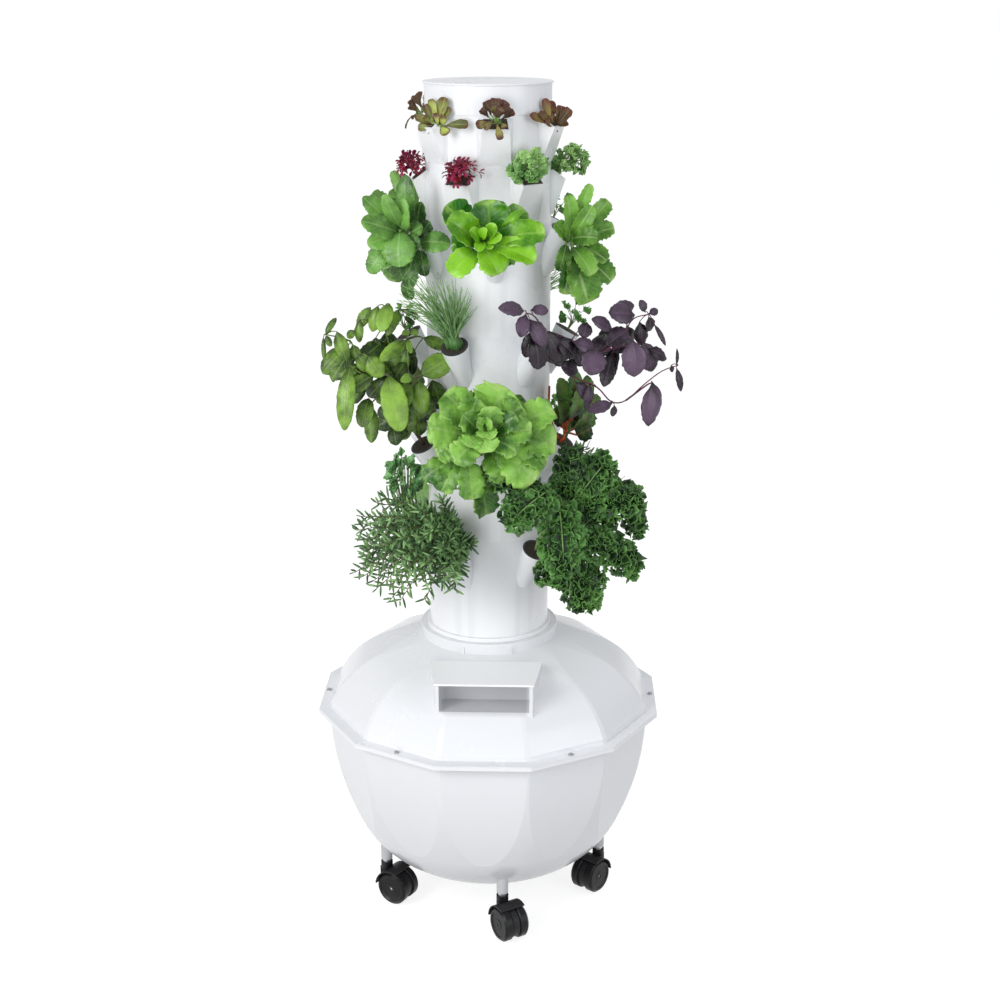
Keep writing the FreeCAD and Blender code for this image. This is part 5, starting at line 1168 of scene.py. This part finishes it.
def grow_chard(greens, site):
    blade = Blade(0.6, 0.55, 0.0, 0.10, fold=0.2, ruffle=0.09, waves=5, blister=0.03, rows=14, cols=8)
    rng = greens.rng
    count = 15
    for index in range(count):
        level = -0.6 + 1.5 * index / (count - 1)
        tip = site.at(site.toward(level, 2.4 * index))
        foot = site.foot + site.side * rng.uniform(-0.01, 0.01)
        start = foot + (tip - foot) * 0.45 + site.out * 0.004
        greens.stem([foot - site.axis * 0.004, foot + site.axis * 0.02, start], 0.0030, 0.0020)
        # Lower leaves get a darker tone and upper ones a lighter: painted shade and light by height
        greens.leaf(start, tip, site.out + UP * 0.5 - site.side * 0.6, 0.046, blade, 0.5,
                    rng.uniform(-0.3, 0.3), 0.3 + 0.4 * level + rng.uniform(-0.2, 0.2))
    greens.stem([site.spot(*spot) for spot in ((0, 0, -4), (-14, 0, 18), (-28, 0, 60), (-28, 0, 115))],
                0.0030, 0.0024)


def grow_rosemary(greens, site):
    blade = Blade(0.35, 0.45, 0.0, 0.25, fold=0.1, cup=-0.3, rows=4, cols=2, thick=0.0009)
    needles(greens, site, 72, 44, 0.027, blade, 0.94)


def grow_oregano(greens, site):
    tufts(greens, site, 40, 0.019, 0.85, 1.6, 0.12, 0.0013, 1.0, -0.9)


def grow_kale(greens, site):
    blade = Blade(0.55, 0.5, 0.0, 0.06, fold=0.18, ruffle=0.18, waves=7, blister=0.06, rows=20, cols=8,
                  thick=0.0010)
    stalks(greens, site, KALE_LEAVES, (40, 0, 70), 0.0032)
    for row in KALE_LEAVES:
        curly_leaf(greens, site, row, blade, 0.00016)


KINDS = {
    "oakleaf": ((14, 0, 14), (40, 40, 36), grower(OAK_RIGHT, OAK_BLADE, (4, 4, 2), 0.0016, -0.7)),
    "oakleaf_green": ((14, 0, 14), (42, 44, 38), grower(OAK_LEFT, OAK_BLADE, (4, 4, 2), 0.0016, 0.7)),
    "oakleaf_wine": ((14, 0, 14), (40, 40, 36), grower(OAK_FRONT, OAK_BLADE, (4, 4, 2), 0.0016, 0.0)),
    "amaranth": ((8, 14, 14), (40, 38, 36), grow_amaranth),
    "frilly": ((20, -20, 22), (42, 44, 42), grow_frilly),
    "butterhead": ((52, -16, 8), (84, 102, 74),
                    grower(BUTTERHEAD_LEAVES, BUTTERHEAD_BLADE, (30, -8, 8), 0.0035, 0.0)),
    "cabbage_head": ((60, -21, 22), (105, 134, 132),
                    grower(CABBAGE_LEAVES, CABBAGE_BLADE, (34, -16, 20), 0.005, 0.0, 0.55)),
    "spinach": ((42, 0, -4), (88, 88, 124),
                    grower(SPINACH_LEAVES, SPINACH_BLADE, (26, 2, 20), 0.0022, 0.55, 0.5)),
    "romaine": ((44, 0, -18), (64, 68, 118),
                    grower(ROMAINE_LEAVES, ROMAINE_BLADE, (18, -4, 6), 0.0035, -0.75)),
    "chives": ((34, -26, 80), (72, 88, 80), grow_chives),
    "purple_basil": ((120, 46, -20), (120, 196, 122), grow_purple_basil),
    "parsley": ((10, 0, 28), (36, 36, 42), grow_parsley),
    "basil": ((90, 0, 172), (128, 132, 146), grow_basil),
    "chard": ((30, 0, 84), (46, 46, 80), grow_chard),
    "rosemary": ((88, -66, 22), (114, 140, 134), grow_rosemary),
    "oregano": ((16, 10, 128), (38, 46, 62), grow_oregano),
    "kale": ((110, 8, 80), (132, 188, 174), grow_kale),
}
ROWS = {
    1: ("oakleaf_wine", "oakleaf", "oakleaf_green", "oakleaf_wine", "oakleaf_wine", "oakleaf_green"),
    2: ("frilly", "frilly", "amaranth", "frilly", "amaranth", "amaranth"),
    3: ("butterhead", "romaine", "parsley", "butterhead", "romaine", "spinach"),
    4: ("purple_basil", "parsley", "chives", "parsley", "parsley", "chives"),
    5: ("cabbage_head", "chard", "parsley", "cabbage_head", "chard", "basil"),
    6: ("kale", "oregano", "rosemary", "romaine", "oregano", "rosemary"),
}


def grow_all():
    looks = plant_looks()
    for row, kinds in ROWS.items():
        for port, kind in enumerate(kinds):
            offsets, reaches, grow = KINDS[kind]
            greens = Greens(f"plant_{row}_{port + 1}_{kind}", 100 * row + port)
            grow(greens, Site(row, port, offsets, reaches))
            plant = greens.build(looks[kind])
            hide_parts(f"plants_row_{row}")
            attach(plant, "root")


make_camera()
make_floor()
make_world()
make_lamps()
dress_frame()
grow_all()
bpy.context.view_layer.update()
